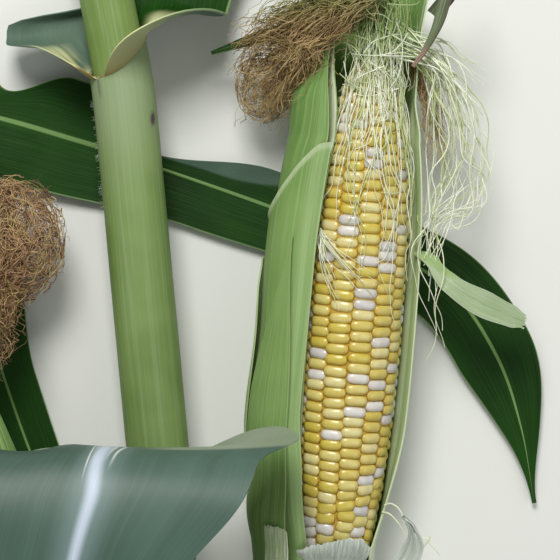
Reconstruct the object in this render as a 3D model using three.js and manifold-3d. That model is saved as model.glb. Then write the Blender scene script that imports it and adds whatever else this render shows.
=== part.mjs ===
// A cut length of a maize plant, laid on its back on level ground. Millimetres, +Z up.
//
// The culm runs along +Y and leans a little towards -X. Three leaf sheaths wrap it, each ending in a
// collar where its blade leaves. The upper blade runs on past the upper cut and off to the right. The
// middle blade arches up over its own sheath and falls towards -Y. The lower blade runs up the left
// side, is folded over, and crosses back under culm and ear. An opened ear of sweet corn stands on a
// shank at the right, its husk pulled to the left, and a closed ear stands on the left.
import * as THREE from "three";
import { mergeVertices } from "three/addons/utils/BufferGeometryUtils.js";
import Module from "manifold-3d";

const wasm = await Module();
wasm.setup();

// Driving sizes
const clearance = 0.35; // between solids that touch on the real plant

const culm = {
  foot: [-26.3, -365.5, 20.4], // centre of the lower cut
  top: [-75.2, 160, 26.0], // centre of the upper cut
  radius: 12.2, // below the hidden upper joint
  upperRadius: 10.5, // above it
  ringHeight: 0.9, // how far a joint's ring stands out
  joints: [22, 143, 281, 437], // distances of the joints from the lower cut
  lean: 0.095, // how far the stalk leans to -X above its upper joint, for each millimetre along it
  sides: 16,
};

const sheath = { wall: 1.35, rise: 4 }; // a sheath starts this far above its joint

const ear = {
  base: [22.8, -115.2, 25.0], // centre of the lowest ring of kernels
  tip: [39.6, 94.6, 37.5],
  radius: 22.6, // over the kernels, at the thickest
  rows: 14,
  kernelPitch: 4.55, // along the ear
  grooveDepth: 1.9, // between kernels
  crown: 0.62, // share of a kernel that is its flat top
  exposed: [-2, 4], // rows that show, counted from the front
};

const husk = { wall: 1.4, gap: 0.95 };

const closedEar = { base: [-96, -262, 30.5], tip: [-129, -46, 39], radius: 24.5 };

const blade = { margin: 1.7, rib: 4.4, ribShare: 0.16 }; // thickness at the edge and over the midrib

// Small helpers
const vec = (p) => new THREE.Vector3(p[0], p[1], p[2]);
const mix = (a, b, t) => a + (b - a) * t;
const clamp01 = (t) => Math.min(1, Math.max(0, t));
const smooth = (t) => clamp01(t) ** 2 * (3 - 2 * clamp01(t));
const radians = (degrees) => (degrees * Math.PI) / 180;

// A number that changes smoothly through [place, value] pairs
function through(pairs, x) {
  const last = pairs.length - 1;
  if (x <= pairs[0][0]) return pairs[0][1];
  if (x >= pairs[last][0]) return pairs[last][1];
  const i = pairs.findIndex((pair) => pair[0] > x) - 1;
  const [[x0, y0], [x1, y1]] = [pairs[i], pairs[i + 1]];
  return mix(y0, y1, smooth((x - x0) / (x1 - x0)));
}

// A number that changes evenly from stop to stop
function alongStops(stops, t) {
  const place = t * (stops.length - 1);
  const i = Math.min(Math.floor(place), stops.length - 2);
  return mix(stops[i], stops[i + 1], place - i);
}

// A seeded row of numbers from 0 to 1
function seeded(seed) {
  let state = seed >>> 0;
  return () => {
    state = (Math.imul(state, 1664525) + 1013904223) >>> 0;
    return state / 4294967296;
  };
}

// A smooth curve through points, by share of its length; others may be read off it in step
function route(points, leader) {
  const curve = new THREE.CatmullRomCurve3(points.map(vec), false, "catmullrom", 0.5);
  const steps = leader ? leader.steps : (t) => curve.getUtoTmapping(clamp01(t));
  const at = (t) => curve.getPoint(clamp01(steps(t)));
  at.steps = steps;
  return at;
}

// A geometry from points and triangles, turned so that its faces point out
function solid(points, faces) {
  let volume = 0;
  for (const [a, b, c] of faces) {
    volume += points[a].dot(points[b].clone().cross(points[c]));
  }
  const order = volume < 0 ? faces.map(([a, b, c]) => [a, c, b]) : faces;
  const geometry = new THREE.BufferGeometry();
  const flat = points.flatMap((p) => [p.x, p.y, p.z]);
  geometry.setAttribute("position", new THREE.Float32BufferAttribute(flat, 3));
  geometry.setIndex(order.flat());
  return geometry;
}

// A leaf-like plate: surface(a, b) over a grid, with above(a, b) on one side and below(a, b) on the other
function plate(surface, above, along, across, below = above) {
  const points = [];
  const faces = [];
  const step = 1e-3;
  const width = across + 1;
  const count = (along + 1) * width;
  const upper = [];
  const lower = [];
  for (let i = 0; i <= along; i++) {
    for (let j = 0; j <= across; j++) {
      const a = i / along;
      const b = j / across;
      const middle = surface(a, b);
      const da = surface(Math.min(1, a + step), b).sub(surface(Math.max(0, a - step), b));
      const db = surface(a, Math.min(1, b + step)).sub(surface(a, Math.max(0, b - step)));
      const normal = db.cross(da).normalize();
      upper.push(middle.clone().addScaledVector(normal, above(a, b)));
      lower.push(middle.clone().addScaledVector(normal, -below(a, b)));
    }
  }
  points.push(...upper, ...lower);
  const at = (i, j) => i * width + j;
  for (let i = 0; i < along; i++) {
    for (let j = 0; j < across; j++) {
      const [p, q, r, s] = [at(i, j), at(i + 1, j), at(i + 1, j + 1), at(i, j + 1)];
      faces.push([p, q, r], [p, r, s]);
      faces.push([count + p, count + r, count + q], [count + p, count + s, count + r]);
    }
  }
  const rim = [];
  for (let j = 0; j < across; j++) rim.push([at(0, j), at(0, j + 1)]);
  for (let i = 0; i < along; i++) rim.push([at(i, across), at(i + 1, across)]);
  for (let j = across; j > 0; j--) rim.push([at(along, j), at(along, j - 1)]);
  for (let i = along; i > 0; i--) rim.push([at(i, 0), at(i - 1, 0)]);
  for (const [p, q] of rim) faces.push([p, q, count + q], [p, count + q, count + p]);
  return solid(points, faces);
}

// A round bar along a path, with a radius that may change
function bar(path, radius, steps, sides) {
  const points = [];
  const faces = [];
  const start = path(0);
  let side = new THREE.Vector3(0, 0, 1);
  for (let i = 0; i <= steps; i++) {
    const t = i / steps;
    const tangent = path(Math.min(1, t + 1e-3)).sub(path(Math.max(0, t - 1e-3))).normalize();
    side = side.clone().addScaledVector(tangent, -side.dot(tangent)).normalize();
    const other = tangent.clone().cross(side);
    const centre = i === 0 ? start : path(t);
    for (let j = 0; j < sides; j++) {
      const angle = (2 * Math.PI * j) / sides;
      const r = radius(t, angle);
      points.push(
        centre
          .clone()
          .addScaledVector(side, r * Math.cos(angle))
          .addScaledVector(other, r * Math.sin(angle)),
      );
    }
  }
  for (let i = 0; i < steps; i++) {
    for (let j = 0; j < sides; j++) {
      const [p, q] = [i * sides + j, i * sides + ((j + 1) % sides)];
      faces.push([p, q, q + sides], [p, q + sides, p + sides]);
    }
  }
  for (const [ring, flip] of [[0, true], [steps, false]]) {
    for (let j = 1; j < sides - 1; j++) {
      const base = ring * sides;
      faces.push(flip ? [base, base + j + 1, base + j] : [base, base + j, base + j + 1]);
    }
  }
  return solid(points, faces);
}

// Straight axes: a point at a distance along, an angle round it (0 faces up, 90 faces +X) and a radius
function axis(from, to) {
  const start = vec(from);
  const along = vec(to).sub(start).normalize();
  const right = along.clone().cross(new THREE.Vector3(0, 0, 1)).normalize();
  const front = right.clone().cross(along);
  const length = vec(to).distanceTo(start);
  const point = (distance, degrees, radius) =>
    start
      .clone()
      .addScaledVector(along, distance)
      .addScaledVector(right, radius * Math.sin(radians(degrees)))
      .addScaledVector(front, radius * Math.cos(radians(degrees)));
  return { along, right, front, length, point };
}

// The stalk's axis leans over further above the upper joint
function leaningAxis(straight) {
  const lean = (distance) => {
    const past = distance - culm.joints[3] - 15;
    return (culm.lean * (past + Math.hypot(past, 10))) / 2;
  };
  const point = (distance, degrees, radius) =>
    straight.point(distance, degrees, radius).addScaledVector(straight.right, -lean(distance));
  return { ...straight, point };
}

const stalkAxis = leaningAxis(axis(culm.foot, culm.top));
const earAxis = axis(ear.base, ear.tip);
const closedAxis = axis(closedEar.base, closedEar.tip);

// Culm and sheaths
function culmRadius(distance) {
  const joint = culm.joints[3];
  const body = mix(culm.radius, culm.upperRadius, smooth((distance - joint) / 4));
  const bare = culm.joints.slice(0, 3);
  const ring = Math.max(...bare.map((at) => Math.exp(-(((distance - at) / 2.2) ** 2))));
  return body + culm.ringHeight * ring;
}

// Above the upper joint the stalk bends, so it has rings there
const upperStops = [5, 12, 19, 30].map((past) => culm.joints[3] + past);
upperStops.push(stalkAxis.length);

function makeCulm() {
  const stops = [0];
  for (const joint of culm.joints) stops.push(joint - 5, joint - 1.8, joint, joint + 1.8, joint + 5);
  stops.push(...upperStops.slice(1));
  const points = [];
  const faces = [];
  for (const stop of stops) {
    for (let j = 0; j < culm.sides; j++) {
      points.push(stalkAxis.point(stop, (360 * j) / culm.sides, culmRadius(stop)));
    }
  }
  const rings = stops.length;
  for (let i = 0; i < rings - 1; i++) {
    for (let j = 0; j < culm.sides; j++) {
      const [p, q] = [i * culm.sides + j, i * culm.sides + ((j + 1) % culm.sides)];
      faces.push([p, q + culm.sides, q], [p, p + culm.sides, q + culm.sides]);
    }
  }
  for (let j = 1; j < culm.sides - 1; j++) {
    const top = (rings - 1) * culm.sides;
    faces.push([0, j, j + 1], [top, top + j + 1, top + j]);
  }
  return solid(points, faces);
}

// A sheath is an open tube from just above its joint to its collar
function makeSheath({ from, to, inner, left, right, rim, stops, along, across }) {
  const middle = inner + sheath.wall / 2;
  const surface = (a, b) => {
    const degrees = mix(left(a), right(a), b);
    const top = to + (rim ? rim(degrees) : 0);
    const distance = stops ? alongStops(stops, a) : mix(from, top, a);
    return stalkAxis.point(distance, degrees, middle);
  };
  return plate(surface, () => sheath.wall / 2, along, across);
}

// Heights of the upper collar's edge round the culm, above its notch
const upperNotch = -43; // degrees
const upperRise = 17;
function upperRim(degrees) {
  const turned = (((degrees - upperNotch) % 360) + 360) % 360;
  return upperRise * smooth(turned <= 150 ? turned / 150 : (360 - turned) / 190);
}

const upperCollar = { at: 455, inner: 12.6, midrib: 165 };
const middleCollar = { at: 262, inner: 12.6, midrib: -35 };
const lowerCollar = { at: 112, inner: 12.6, midrib: 180 };

// A blade: a ribbon round its midrib that starts rolled round the culm and opens flat
function bladeSurface({ spine, normals, left, right, roll, flat, start, end, ruffle }) {
  const at = route(spine);
  const facing = route(normals, at);
  return (t, b) => {
    const u = 2 * b - 1;
    const centre = at(t);
    const tangent = at(Math.min(1, t + 2e-3)).sub(at(Math.max(0, t - 2e-3))).normalize();
    const up = facing(t);
    up.addScaledVector(tangent, -up.dot(tangent)).normalize();
    const side = tangent.clone().cross(up).normalize();
    const half = u < 0 ? left(t) : right(t);
    const opened = smooth(t / (u < 0 ? roll.left : roll.right));
    const bend = mix(1 / roll.radius, flat, opened);
    const turn = u * half * bend;
    const ahead = (start ? start(u) * (1 - smooth(t / 0.12)) : 0) + (end ? end(t, u) : 0);
    return centre
      .addScaledVector(side, Math.sin(turn) / bend)
      .addScaledVector(up, (1 - Math.cos(turn)) / bend + (ruffle ? ruffle(t, u) : 0))
      .addScaledVector(tangent, ahead);
  };
}

// The collar point of a sheath, from which its blade starts, and the way from there to the culm
const rolled = 14.2; // radius of a blade where it leaves the collar
const collarStart = (collar, lift) => stalkAxis.point(collar.at + lift, collar.midrib, rolled).toArray();
const towardsCulm = (collar) =>
  stalkAxis.right
    .clone()
    .multiplyScalar(-Math.sin(radians(collar.midrib)))
    .addScaledVector(stalkAxis.front, -Math.cos(radians(collar.midrib)))
    .toArray();
const skyward = (count) => Array.from({ length: count }, () => [0, 0, 1]);
const profile = (...pairs) => (t) => through(pairs, t);

// How far the upper blade's edge starts past its midrib's start, square to the leaning stalk
const upperStart = (degrees) =>
  upperRim(degrees) - upperRise - culm.lean * rolled * Math.sin(radians(degrees));

const upperBlade = {
  spine: [
    collarStart(upperCollar, upperRise + 1.3),
    collarStart(upperCollar, upperRise + 9),
    [-70, 128, 8.6],
    [-64, 150, 5],
    [-52, 172, 4],
    [-29, 198, 3.7],
    [8, 216, 3.7],
    [52, 222, 3.7],
    [98, 216, 3.7],
    [142, 199, 3.7],
    [180, 172, 3.3],
  ],
  normals: [towardsCulm(upperCollar), towardsCulm(upperCollar), [-0.1, 0.1, 1], ...skyward(8)],
  left: profile([0, 37.2], [0.03, 47], [0.045, 36], [0.06, 16], [0.1, 22], [0.3, 40], [0.75, 26], [1, 1]),
  right: profile([0, 50.9], [0.1, 50], [0.4, 41], [0.75, 26], [1, 1]),
  roll: { radius: rolled, left: 0.045, right: 0.05 },
  flat: 1 / 190,
  start: (u) => upperStart(upperCollar.midrib - u * (u < 0 ? 150 : 205)),
  ruffle: (t, u) => 4 * smooth(t / 0.1) * Math.abs(u) ** 3 * (1 + Math.sin(29 * t + (u < 0 ? 0 : 2))),
};

const crest = 0.15; // share of the middle blade's length at which it turns down
// The right margin stands up behind the crest, the left one droops over it, and both are wavy further on
function middleRuffle(t, u) {
  const wave = 3 * smooth((t - 0.2) / 0.2) * Math.abs(u) ** 3 * Math.sin(19 * t + (u < 0 ? 1 : 3));
  const standing = 11 * smooth((-u - 0.55) / 0.45) * Math.exp(-(((t - 0.097) / 0.0145) ** 2));
  const drooping = 6 * smooth((u - 0.3) / 0.7) * Math.exp(-(((t - 0.13) / 0.05) ** 2));
  return wave + standing - drooping;
}
const middleBlade = {
  spine: [
    collarStart(middleCollar, 0.8),
    [-66, -93, 42],
    [-70, -76, 58],
    [-72, -68, 78],
    [-76, -76, 95],
    [-83, -103, 103],
    [-92, -144, 99],
    [-102, -192, 86],
    [-112, -240, 70],
    [-120, -286, 48],
    [-127, -330, 24],
    [-132, -374, 7.6],
    [-135, -418, 3.8],
    [-136, -460, 3.3],
  ],
  normals: [
    towardsCulm(middleCollar),
    [0.3, 0.5, -0.5],
    [0.1, 1, -0.1],
    [0, 1, 0.3],
    [0, 0.6, 0.8],
    [0, 0.1, 1],
    [0, 0, 1],
    [0, -0.1, 1],
    [0, -0.3, 1],
    [0, -0.5, 1],
    [0, -0.5, 1],
    [0, -0.2, 1],
    [0, 0, 1],
    [0, 0, 1],
  ],
  left: profile(
    [0, 22], [0.06, 30], [0.12, 80], [0.14, 69], [0.165, 64.5], [0.2, 53], [0.26, 50], [0.5, 47], [0.78, 29],
    [1, 1],
  ),
  right: profile([0, 22], [0.07, 24], [0.13, 36], [0.2, 56], [0.5, 47], [0.78, 29], [1, 1]),
  roll: { radius: rolled, left: 0.1, right: 0.12 },
  flat: 1 / 500,
  ruffle: middleRuffle,
};

// The lower blade is one ribbon folded over: each part ends on the line of the fold
const fold = [-168, 82];
const lowerBladeBase = {
  spine: [
    collarStart(lowerCollar, 0.8),
    [-40, -236, 5.4],
    [-50, -216, 3.9],
    [-66, -184, 3.7],
    [-92, -126, 3.7],
    [-116, -66, 3.7],
    [-140, 6, 3.7],
    [...fold, 3.7],
  ],
  normals: [towardsCulm(lowerCollar), ...skyward(7)],
  left: profile([0, 20], [0.3, 24], [0.5, 13], [0.62, 14], [0.85, 32], [1, 32]),
  right: profile([0, 20], [0.3, 24], [0.5, 13], [0.62, 14], [0.85, 32], [1, 32]),
  roll: { radius: rolled, left: 0.14, right: 0.1 },
  flat: 1 / 400,
  end: (t, u) => 0.67 * 32 * u * smooth((t - 0.6) / 0.4),
};

const lowerBladeTip = {
  spine: [
    [...fold, 9.8],
    [-148, 78, 9.7],
    [-124, 72, 9.4],
    [-98, 64.5, 5.8],
    [-64, 54, 3.7],
    [-2, 32, 3.7],
    [44, 14, 3.7],
    [76, -4, 3.7],
    [97, -34, 3.7],
    [108, -66, 3.7],
    [114, -100, 3.2],
  ],
  normals: skyward(11),
  left: profile([0, 32], [0.11, 12], [0.2, 26], [0.24, 26], [0.31, 5], [0.46, 16], [0.8, 18], [1, 1]),
  right: profile([0, 32], [0.2, 26], [0.38, 21], [0.6, 18], [0.8, 18], [1, 1]),
  roll: { radius: 500, left: 0.01, right: 0.01 },
  flat: 1 / 500,
  end: (t, u) => -0.63 * 32 * u * (1 - smooth(t / 0.35)),
};

// The midrib stands out underneath, the upper face stays plain
function makeBlade(shape, from, to, along, across, gather = 1) {
  const surface = bladeSurface(shape);
  const place = (a) => mix(from, to, a ** gather);
  const below = (a, b) => {
    const rib = Math.exp(-(((2 * b - 1) / blade.ribShare) ** 2));
    const thinner = mix(1, 0.5, smooth((place(a) - 0.75) / 0.25));
    return mix(blade.margin / 2, blade.rib - blade.margin / 2, rib) * thinner;
  };
  return plate((a, b) => surface(place(a), b), () => blade.margin / 2, along, across, below);
}

// Ear: the radius over the kernels, from the lowest ring to the tip
function earRadius(distance) {
  const s = distance / earAxis.length;
  if (s < 0) return ear.radius * 0.74 + distance * 0.32;
  if (s < 0.45) return ear.radius * (1 - 0.26 * (1 - s / 0.45) ** 2.4);
  return ear.radius * Math.sqrt(Math.max(0.012, 1 - (Math.min(s, 1) - 0.45) ** 2.6 / 0.56 ** 2.6));
}

// Kernels: raised cells in lengthwise rows, with the rows at the back left plain under the husk
function makeKernels() {
  const points = [];
  const faces = [];
  const cells = Math.floor((earAxis.length - 3) / ear.kernelPitch);
  const rowAngle = 360 / ear.rows;
  const halves = 2 * cells;
  const groove = (distance) => Math.max(1.2, earRadius(distance) - ear.grooveDepth);
  const [first, last] = ear.exposed;
  const lines = [];
  const lineAngles = [];
  for (let row = first; row <= last; row++) lineAngles.push(row * rowAngle);
  const back = [];
  const hidden = 4;
  const open = (last - first) * rowAngle;
  for (let k = 1; k < hidden; k++) back.push(last * rowAngle + ((360 - open) * k) / hidden);
  for (const degrees of [...lineAngles, ...back]) {
    const line = [];
    for (let h = 0; h <= halves; h++) {
      const distance = (h * ear.kernelPitch) / 2;
      line.push(points.length);
      points.push(earAxis.point(distance, degrees, groove(distance)));
    }
    lines.push(line);
  }
  const shown = lineAngles.length - 1;
  for (let row = 0; row < shown; row++) {
    const [left, right] = [lines[row], lines[row + 1]];
    const middle = (lineAngles[row] + lineAngles[row + 1]) / 2;
    const shift = (row + first) & 1;
    const cuts = [];
    if (shift) cuts.push(0);
    for (let h = shift; h <= halves; h += 2) cuts.push(h);
    if (cuts[cuts.length - 1] !== halves) cuts.push(halves);
    for (let c = 0; c < cuts.length - 1; c++) {
      const [low, high] = [cuts[c], cuts[c + 1]];
      if (high === low) continue;
      const inset = ((1 - ear.crown) / 2) * (high - low) * (ear.kernelPitch / 2);
      const top = [];
      for (const [h, sign] of [[low, 1], [high, -1]]) {
        for (const side of [-1, 1]) {
          const distance = (h * ear.kernelPitch) / 2 + sign * inset;
          top.push(points.length);
          const degrees = middle + (side * rowAngle * ear.crown) / 2;
          points.push(earAxis.point(distance, degrees, earRadius(distance)));
        }
      }
      const [lowLeft, lowRight, highLeft, highRight] = top;
      faces.push([lowLeft, lowRight, highRight], [lowLeft, highRight, highLeft]);
      faces.push([left[low], right[low], lowRight], [left[low], lowRight, lowLeft]);
      faces.push([left[high], highRight, right[high]], [left[high], highLeft, highRight]);
      const between = (line, a, b, isLeft) => {
        for (let h = low; h < high; h++) {
          const apex = h < (low + high) / 2 ? a : b;
          faces.push(isLeft ? [line[h], apex, line[h + 1]] : [line[h], line[h + 1], apex]);
        }
        const centre = line[Math.floor((low + high) / 2)];
        if (high - low === 2) faces.push(isLeft ? [centre, a, b] : [centre, b, a]);
        else faces.push(isLeft ? [line[high], a, b] : [line[high], b, a]);
      };
      between(left, lowLeft, highLeft, true);
      between(right, lowRight, highRight, false);
    }
  }
  for (let k = shown; k < lines.length; k++) {
    const [left, right] = [lines[k], lines[(k + 1) % lines.length]];
    for (let h = 0; h < halves; h++) {
      faces.push([left[h], right[h], right[h + 1]], [left[h], right[h + 1], left[h + 1]]);
    }
  }
  const ends = [[0, 0], [halves, halves * (ear.kernelPitch / 2)]];
  for (const [h, distance] of ends) {
    const centre = points.length;
    const push = h === 0 ? 0 : 2.2;
    points.push(earAxis.point(distance + push, 0, 0));
    for (let k = 0; k < lines.length; k++) {
      const [p, q] = [lines[k][h], lines[(k + 1) % lines.length][h]];
      faces.push(h === 0 ? [centre, q, p] : [centre, p, q]);
    }
  }
  return solid(points, faces);
}

// Shanks: a short jointed stem from the culm, cut clear of it, to the butt of an ear
function makeShank(points, radius, butt) {
  const path = route(points);
  const ringed = (t) => radius + 0.9 * Math.max(0, Math.sin(t * 21) - 0.75) * 4 * (1 - t);
  const stem = bar(path, (t) => mix(ringed(t), butt, smooth((t - 0.78) / 0.13)), 22, 14);
  const around = (t) => stalkAxis.point(mix(5, 200, t), 0, 0);
  const grown = bar(around, () => culm.radius + clearance + culm.ringHeight, 1, 24);
  return fromManifold(toManifold(stem).subtract(toManifold(grown)));
}

// How far the husk on the left stands away from the kernels
const bulgeHeight = (distance) =>
  through([[-12, 1], [20, 9], [50, 12], [92, 9.5], [132, 10.5], [165, 11], [190, 11], [214, 2]], distance);
const bulgeShape = (degrees) => Math.exp(-(((degrees + 92) / 40) ** 2));

// The inside of the husk follows the kernels, and past them it stands up as a funnel
const funnelRadius = (distance) => through([[160, 0], [190, 18.2], [215, 18], [252, 21]], distance);
const insideHusk = (distance) =>
  Math.max(earRadius(Math.min(distance, earAxis.length)), funnelRadius(distance));

// How much further the outer leaves stand away near the butt
const outerFlare = (distance) => 7 * (1 - smooth((distance + 8) / 40));

// The middle of husk layer number k, counted out from the kernels
function huskRadius(distance, degrees, k) {
  const layer = clearance + 0.55 + husk.wall / 2 + k * (husk.wall + husk.gap);
  const bulge = (k > 0 ? bulgeHeight(distance) : 0) + (k > 2 ? outerFlare(distance) : 0);
  return insideHusk(distance) + layer + bulge * bulgeShape(degrees);
}

// A husk leaf: one layer between two edges, given as degrees at each distance, each edge moved out by spare
function huskLeaf({ layer, from, to, left, right, top }, spare = 0) {
  return (a, b) => {
    const guess = mix(from, to, a);
    const outward = b === 0 ? -spare : b === 1 ? spare : 0;
    const wider = outward * Math.sign(right(guess) - left(guess));
    const degrees = mix(left(guess), right(guess), b) + wider;
    const end = top ? top(degrees) : to;
    const distance = mix(from, end, a);
    return earAxis.point(distance, degrees, huskRadius(distance, degrees, layer));
  };
}

const huskLeaves = {
  husk_back: {
    layer: 0,
    from: -9,
    to: 246,
    left: (d) => -through([[-9, 50], [120, 50], [185, 44], [215, 60], [246, 110]], d),
    right: (d) => -360 + through([[-9, 60], [25, 72], [60, 80], [170, 82], [205, 86], [246, 92]], d),
    grid: [17, 10],
  },
  husk_tall: {
    layer: 1,
    from: -8,
    to: 214,
    left: (d) => -through([[-8, 118], [100, 121], [165, 118], [190, 104], [214, 66]], d),
    right: (d) => -through([[-8, 52], [100, 50], [190, 46], [214, 56]], d),
    grid: [12, 6],
  },
  husk_front: {
    layer: 2,
    from: -7,
    to: 172,
    left: () => -112,
    right: (d) => -through([[-7, 34], [30, 40], [60, 44], [120, 42], [172, 40]], d),
    top: (degrees) => 174 - 34 * smooth((-degrees - 38) / 60),
    grid: [10, 6],
  },
  husk_point: {
    layer: 3,
    from: -14,
    to: 134,
    left: (d) => -through([[-14, 92], [60, 80], [134, 56]], d),
    right: (d) => -through([[-14, 46], [60, 46], [134, 54]], d),
    grid: [8, 4],
  },
  husk_side: {
    layer: 3,
    from: -14,
    to: 122,
    left: () => -114,
    right: (d) => -through([[-14, 96], [60, 84.5], [100, 88], [122, 100]], d),
    grid: [8, 4],
  },
};

function makeHuskLeaf(name) {
  const leaf = huskLeaves[name];
  return plate(huskLeaf(leaf), () => husk.wall / 2, ...leaf.grid);
}

// A strip that follows a route, such as a torn flap or the tip of a husk leaf
function makeStrip({ spine, normals, half, wall, bend = 1 / 60, along = 8, across = 3 }, spare = 0) {
  const roll = { radius: 1 / bend, left: 0.01, right: 0.01 };
  const wide = (t) => half(t) + spare;
  const surface = bladeSurface({ spine, normals, left: wide, right: wide, roll, flat: bend });
  return plate(surface, () => wall / 2 + spare, along, across);
}

const flapRoot = earAxis.point(130, 86.5, earRadius(130) + 3.8).toArray();
const huskStrips = {
  husk_flap: {
    spine: [flapRoot, [64.5, 8.5, 38], [70.5, 0.5, 39], [79, -6, 38], [92, -12.5, 34.5], [106, -18, 29]],
    normals: [[0.9, 0.1, 0.7], [0.3, 0.2, 1], [0.2, 0.2, 1], [0.1, 0.1, 1], [0.3, 0.1, 1], [0.4, 0.1, 1]],
    half: (t) => through([[0, 2.6], [0.15, 2.9], [0.36, 4.6], [0.65, 6], [0.88, 5], [1, 3]], t),
    wall: 1.3,
  },
  husk_stub_3: {
    spine: [[35.4, -130, 24.2], [44, -129, 28], [53, -122.5, 33], [58.5, -113, 36], [60, -108, 37]],
    normals: [[-0.5, 0, 1], [-0.4, 0.1, 1], [-0.2, 0, 1], [-0.1, -0.2, 1], [0, -0.3, 1]],
    half: (t) => through([[0, 2.2], [0.2, 2.6], [0.5, 5.4], [0.75, 5.6], [1, 3]], t),
    wall: 1.2,
  },
  husk_tip_left: {
    spine: [[20, 107, 26], [8, 108.5, 26], [-8, 106, 25], [-30, 99, 24]],
    normals: [[0, 0.4, 1], [0, 0.4, 1], [0, 0.5, 1], [0, 0.6, 1]],
    half: (t) => mix(5, 0.8, t ** 1.5),
    wall: 1.2,
  },
  husk_tip_right: {
    spine: [[66.6, 113, 37], [75, 124, 44], [78, 138, 50], [70, 132, 56], [62, 110, 57], [56, 92, 54]],
    normals: [[-1, 0, 1], [-1, 0, 1], [-1, -0.4, 0.6], [-0.4, 0.4, 1], [-0.5, 0.3, 1], [-0.5, 0.3, 1]],
    half: (t) => mix(4.4, 1.4, t),
    wall: 1.3,
    bend: 1 / 4,
    along: 10,
  },
};

// Torn stubs of the husk leaves that were pulled off the front
const stubs = {
  husk_stub_1: { degrees: -51, width: 22, from: -13, tips: [9, 9.6, 9.4, 9.8, 9.2, 8.6], layer: 3.93 },
  husk_stub_2: { degrees: 10, width: 76, from: -10.5, tips: [1.5, 4.2, 6.2, 7.4, 7.6, 3.5], lean: 4.5 },
};
function makeStub({ degrees, width, from, tips, lean, layer }, wall = 1.2) {
  const surface = (a, b) => {
    const turn = degrees + (b - 0.5) * width * mix(1, 0.86, a);
    const distance = mix(from, tips[Math.round(b * 5)], a);
    const radius = layer
      ? huskRadius(distance, turn, layer)
      : Math.max(earRadius(distance), 13.4) + 0.9 + lean * smooth(a) ** 1.4;
    return earAxis.point(distance, turn, radius);
  };
  return plate(surface, () => wall / 2, 5, 5);
}

// Silk: locks of strands fused into one mass, kept clear of what lies under them
function locks(list, sides = 3) {
  const bodies = list.map(({ points, radius, steps = 6 }) => {
    const path = route(points);
    return toManifold(bar(path, (t) => radius * mix(1, 0.32, t ** 2), steps, sides));
  });
  return bodies.reduce((sum, body) => sum.add(body));
}

function toManifold(geometry) {
  const plain = new THREE.BufferGeometry();
  plain.setAttribute("position", geometry.getAttribute("position").clone());
  plain.setIndex(geometry.getIndex().clone());
  const merged = mergeVertices(plain, 1e-5);
  const mesh = new wasm.Mesh({
    numProp: 3,
    vertProperties: new Float32Array(merged.getAttribute("position").array),
    triVerts: new Uint32Array(merged.getIndex().array),
  });
  return new wasm.Manifold(mesh);
}

function fromManifold(body) {
  const parts = body.simplify(0.04).decompose();
  const largest = parts.reduce((best, part) => (part.volume() > best.volume() ? part : best));
  const mesh = largest.getMesh();
  const geometry = new THREE.BufferGeometry();
  geometry.setAttribute("position", new THREE.Float32BufferAttribute(Array.from(mesh.vertProperties), 3));
  geometry.setIndex(Array.from(mesh.triVerts));
  return geometry;
}

// The husk leaves and cob with room round them, for cutting the silk clear
function huskWithRoom() {
  const bodies = Object.values(huskLeaves).map((leaf) =>
    toManifold(plate(huskLeaf(leaf, 3 * clearance), () => husk.wall / 2 + clearance, ...leaf.grid)),
  );
  return bodies.reduce((sum, body) => sum.add(body));
}

function cobWithRoom() {
  const path = (t) => earAxis.point(t * (earAxis.length + 2) - 1, 0, 0);
  const radius = (t) => earRadius(t * (earAxis.length + 2) - 1) + 1.2;
  return toManifold(bar(path, radius, 24, 28));
}

// The knot in which all silk meets, past the tip of the cob
const knot = { from: 206, to: 230, wide: 12, narrow: 7, lift: 4 };
const makeKnot = (grown) =>
  toManifold(
    bar(
      (t) => earAxis.point(mix(knot.from - grown, knot.to + grown, t), 0, knot.lift),
      (t) => mix(knot.wide, knot.narrow, t) + grown,
      3,
      10,
    ),
  );

// Pale silk over the top of the kernels: locks from the tip down the rows
function makeFrontSilk() {
  const random = seeded(7);
  const list = [];
  const root = earAxis.point(222, 0, 7).toArray();
  for (let i = 0; i < 9; i++) {
    const share = i / 8;
    const degrees = mix(-42, 74, share);
    const lengths = through([[0, 128], [0.3, 92], [0.6, 96], [0.8, 88], [1, 20]], share);
    const reach = lengths + 12 * (random() - 0.5);
    const wander = () => 5 * (random() - 0.5);
    const over = (distance, lift) =>
      earAxis.point(distance, degrees + wander(), earRadius(Math.min(distance, 196)) + lift).toArray();
    list.push({
      points: [root, over(206, 4.6), over(190, 3), over(mix(190, reach, 0.5), 2.4), over(reach, 2.2)],
      radius: 1.7,
      steps: 6,
    });
  }
  return locks(list).add(makeKnot(0));
}

// Pale silk that springs out at the right and falls back to the ear in loops
function makeSideSilk() {
  const random = seeded(23);
  const list = [];
  for (let i = 0; i < 5; i++) {
    const share = i / 4;
    const out = mix(12, 34, share) + 3 * (random() - 0.5);
    const lift = 8 * (random() - 0.5);
    list.push({
      points: [
        earAxis.point(222, 60, 7).toArray(),
        [60 + out * 0.3, 92 - 6 * share, 44 + lift],
        [58 + out * 0.8, 66 - 10 * share, 40 + lift],
        [57 + out, 46 - 8 * share, 36 + lift],
        [61 + out * 0.4, 32 - 8 * share, 37 + lift * 0.5],
        [62.5 + 3 * random(), mix(12, 22, random()), 40],
      ],
      radius: 1.5,
      steps: 8,
    });
  }
  return locks(list);
}

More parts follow.
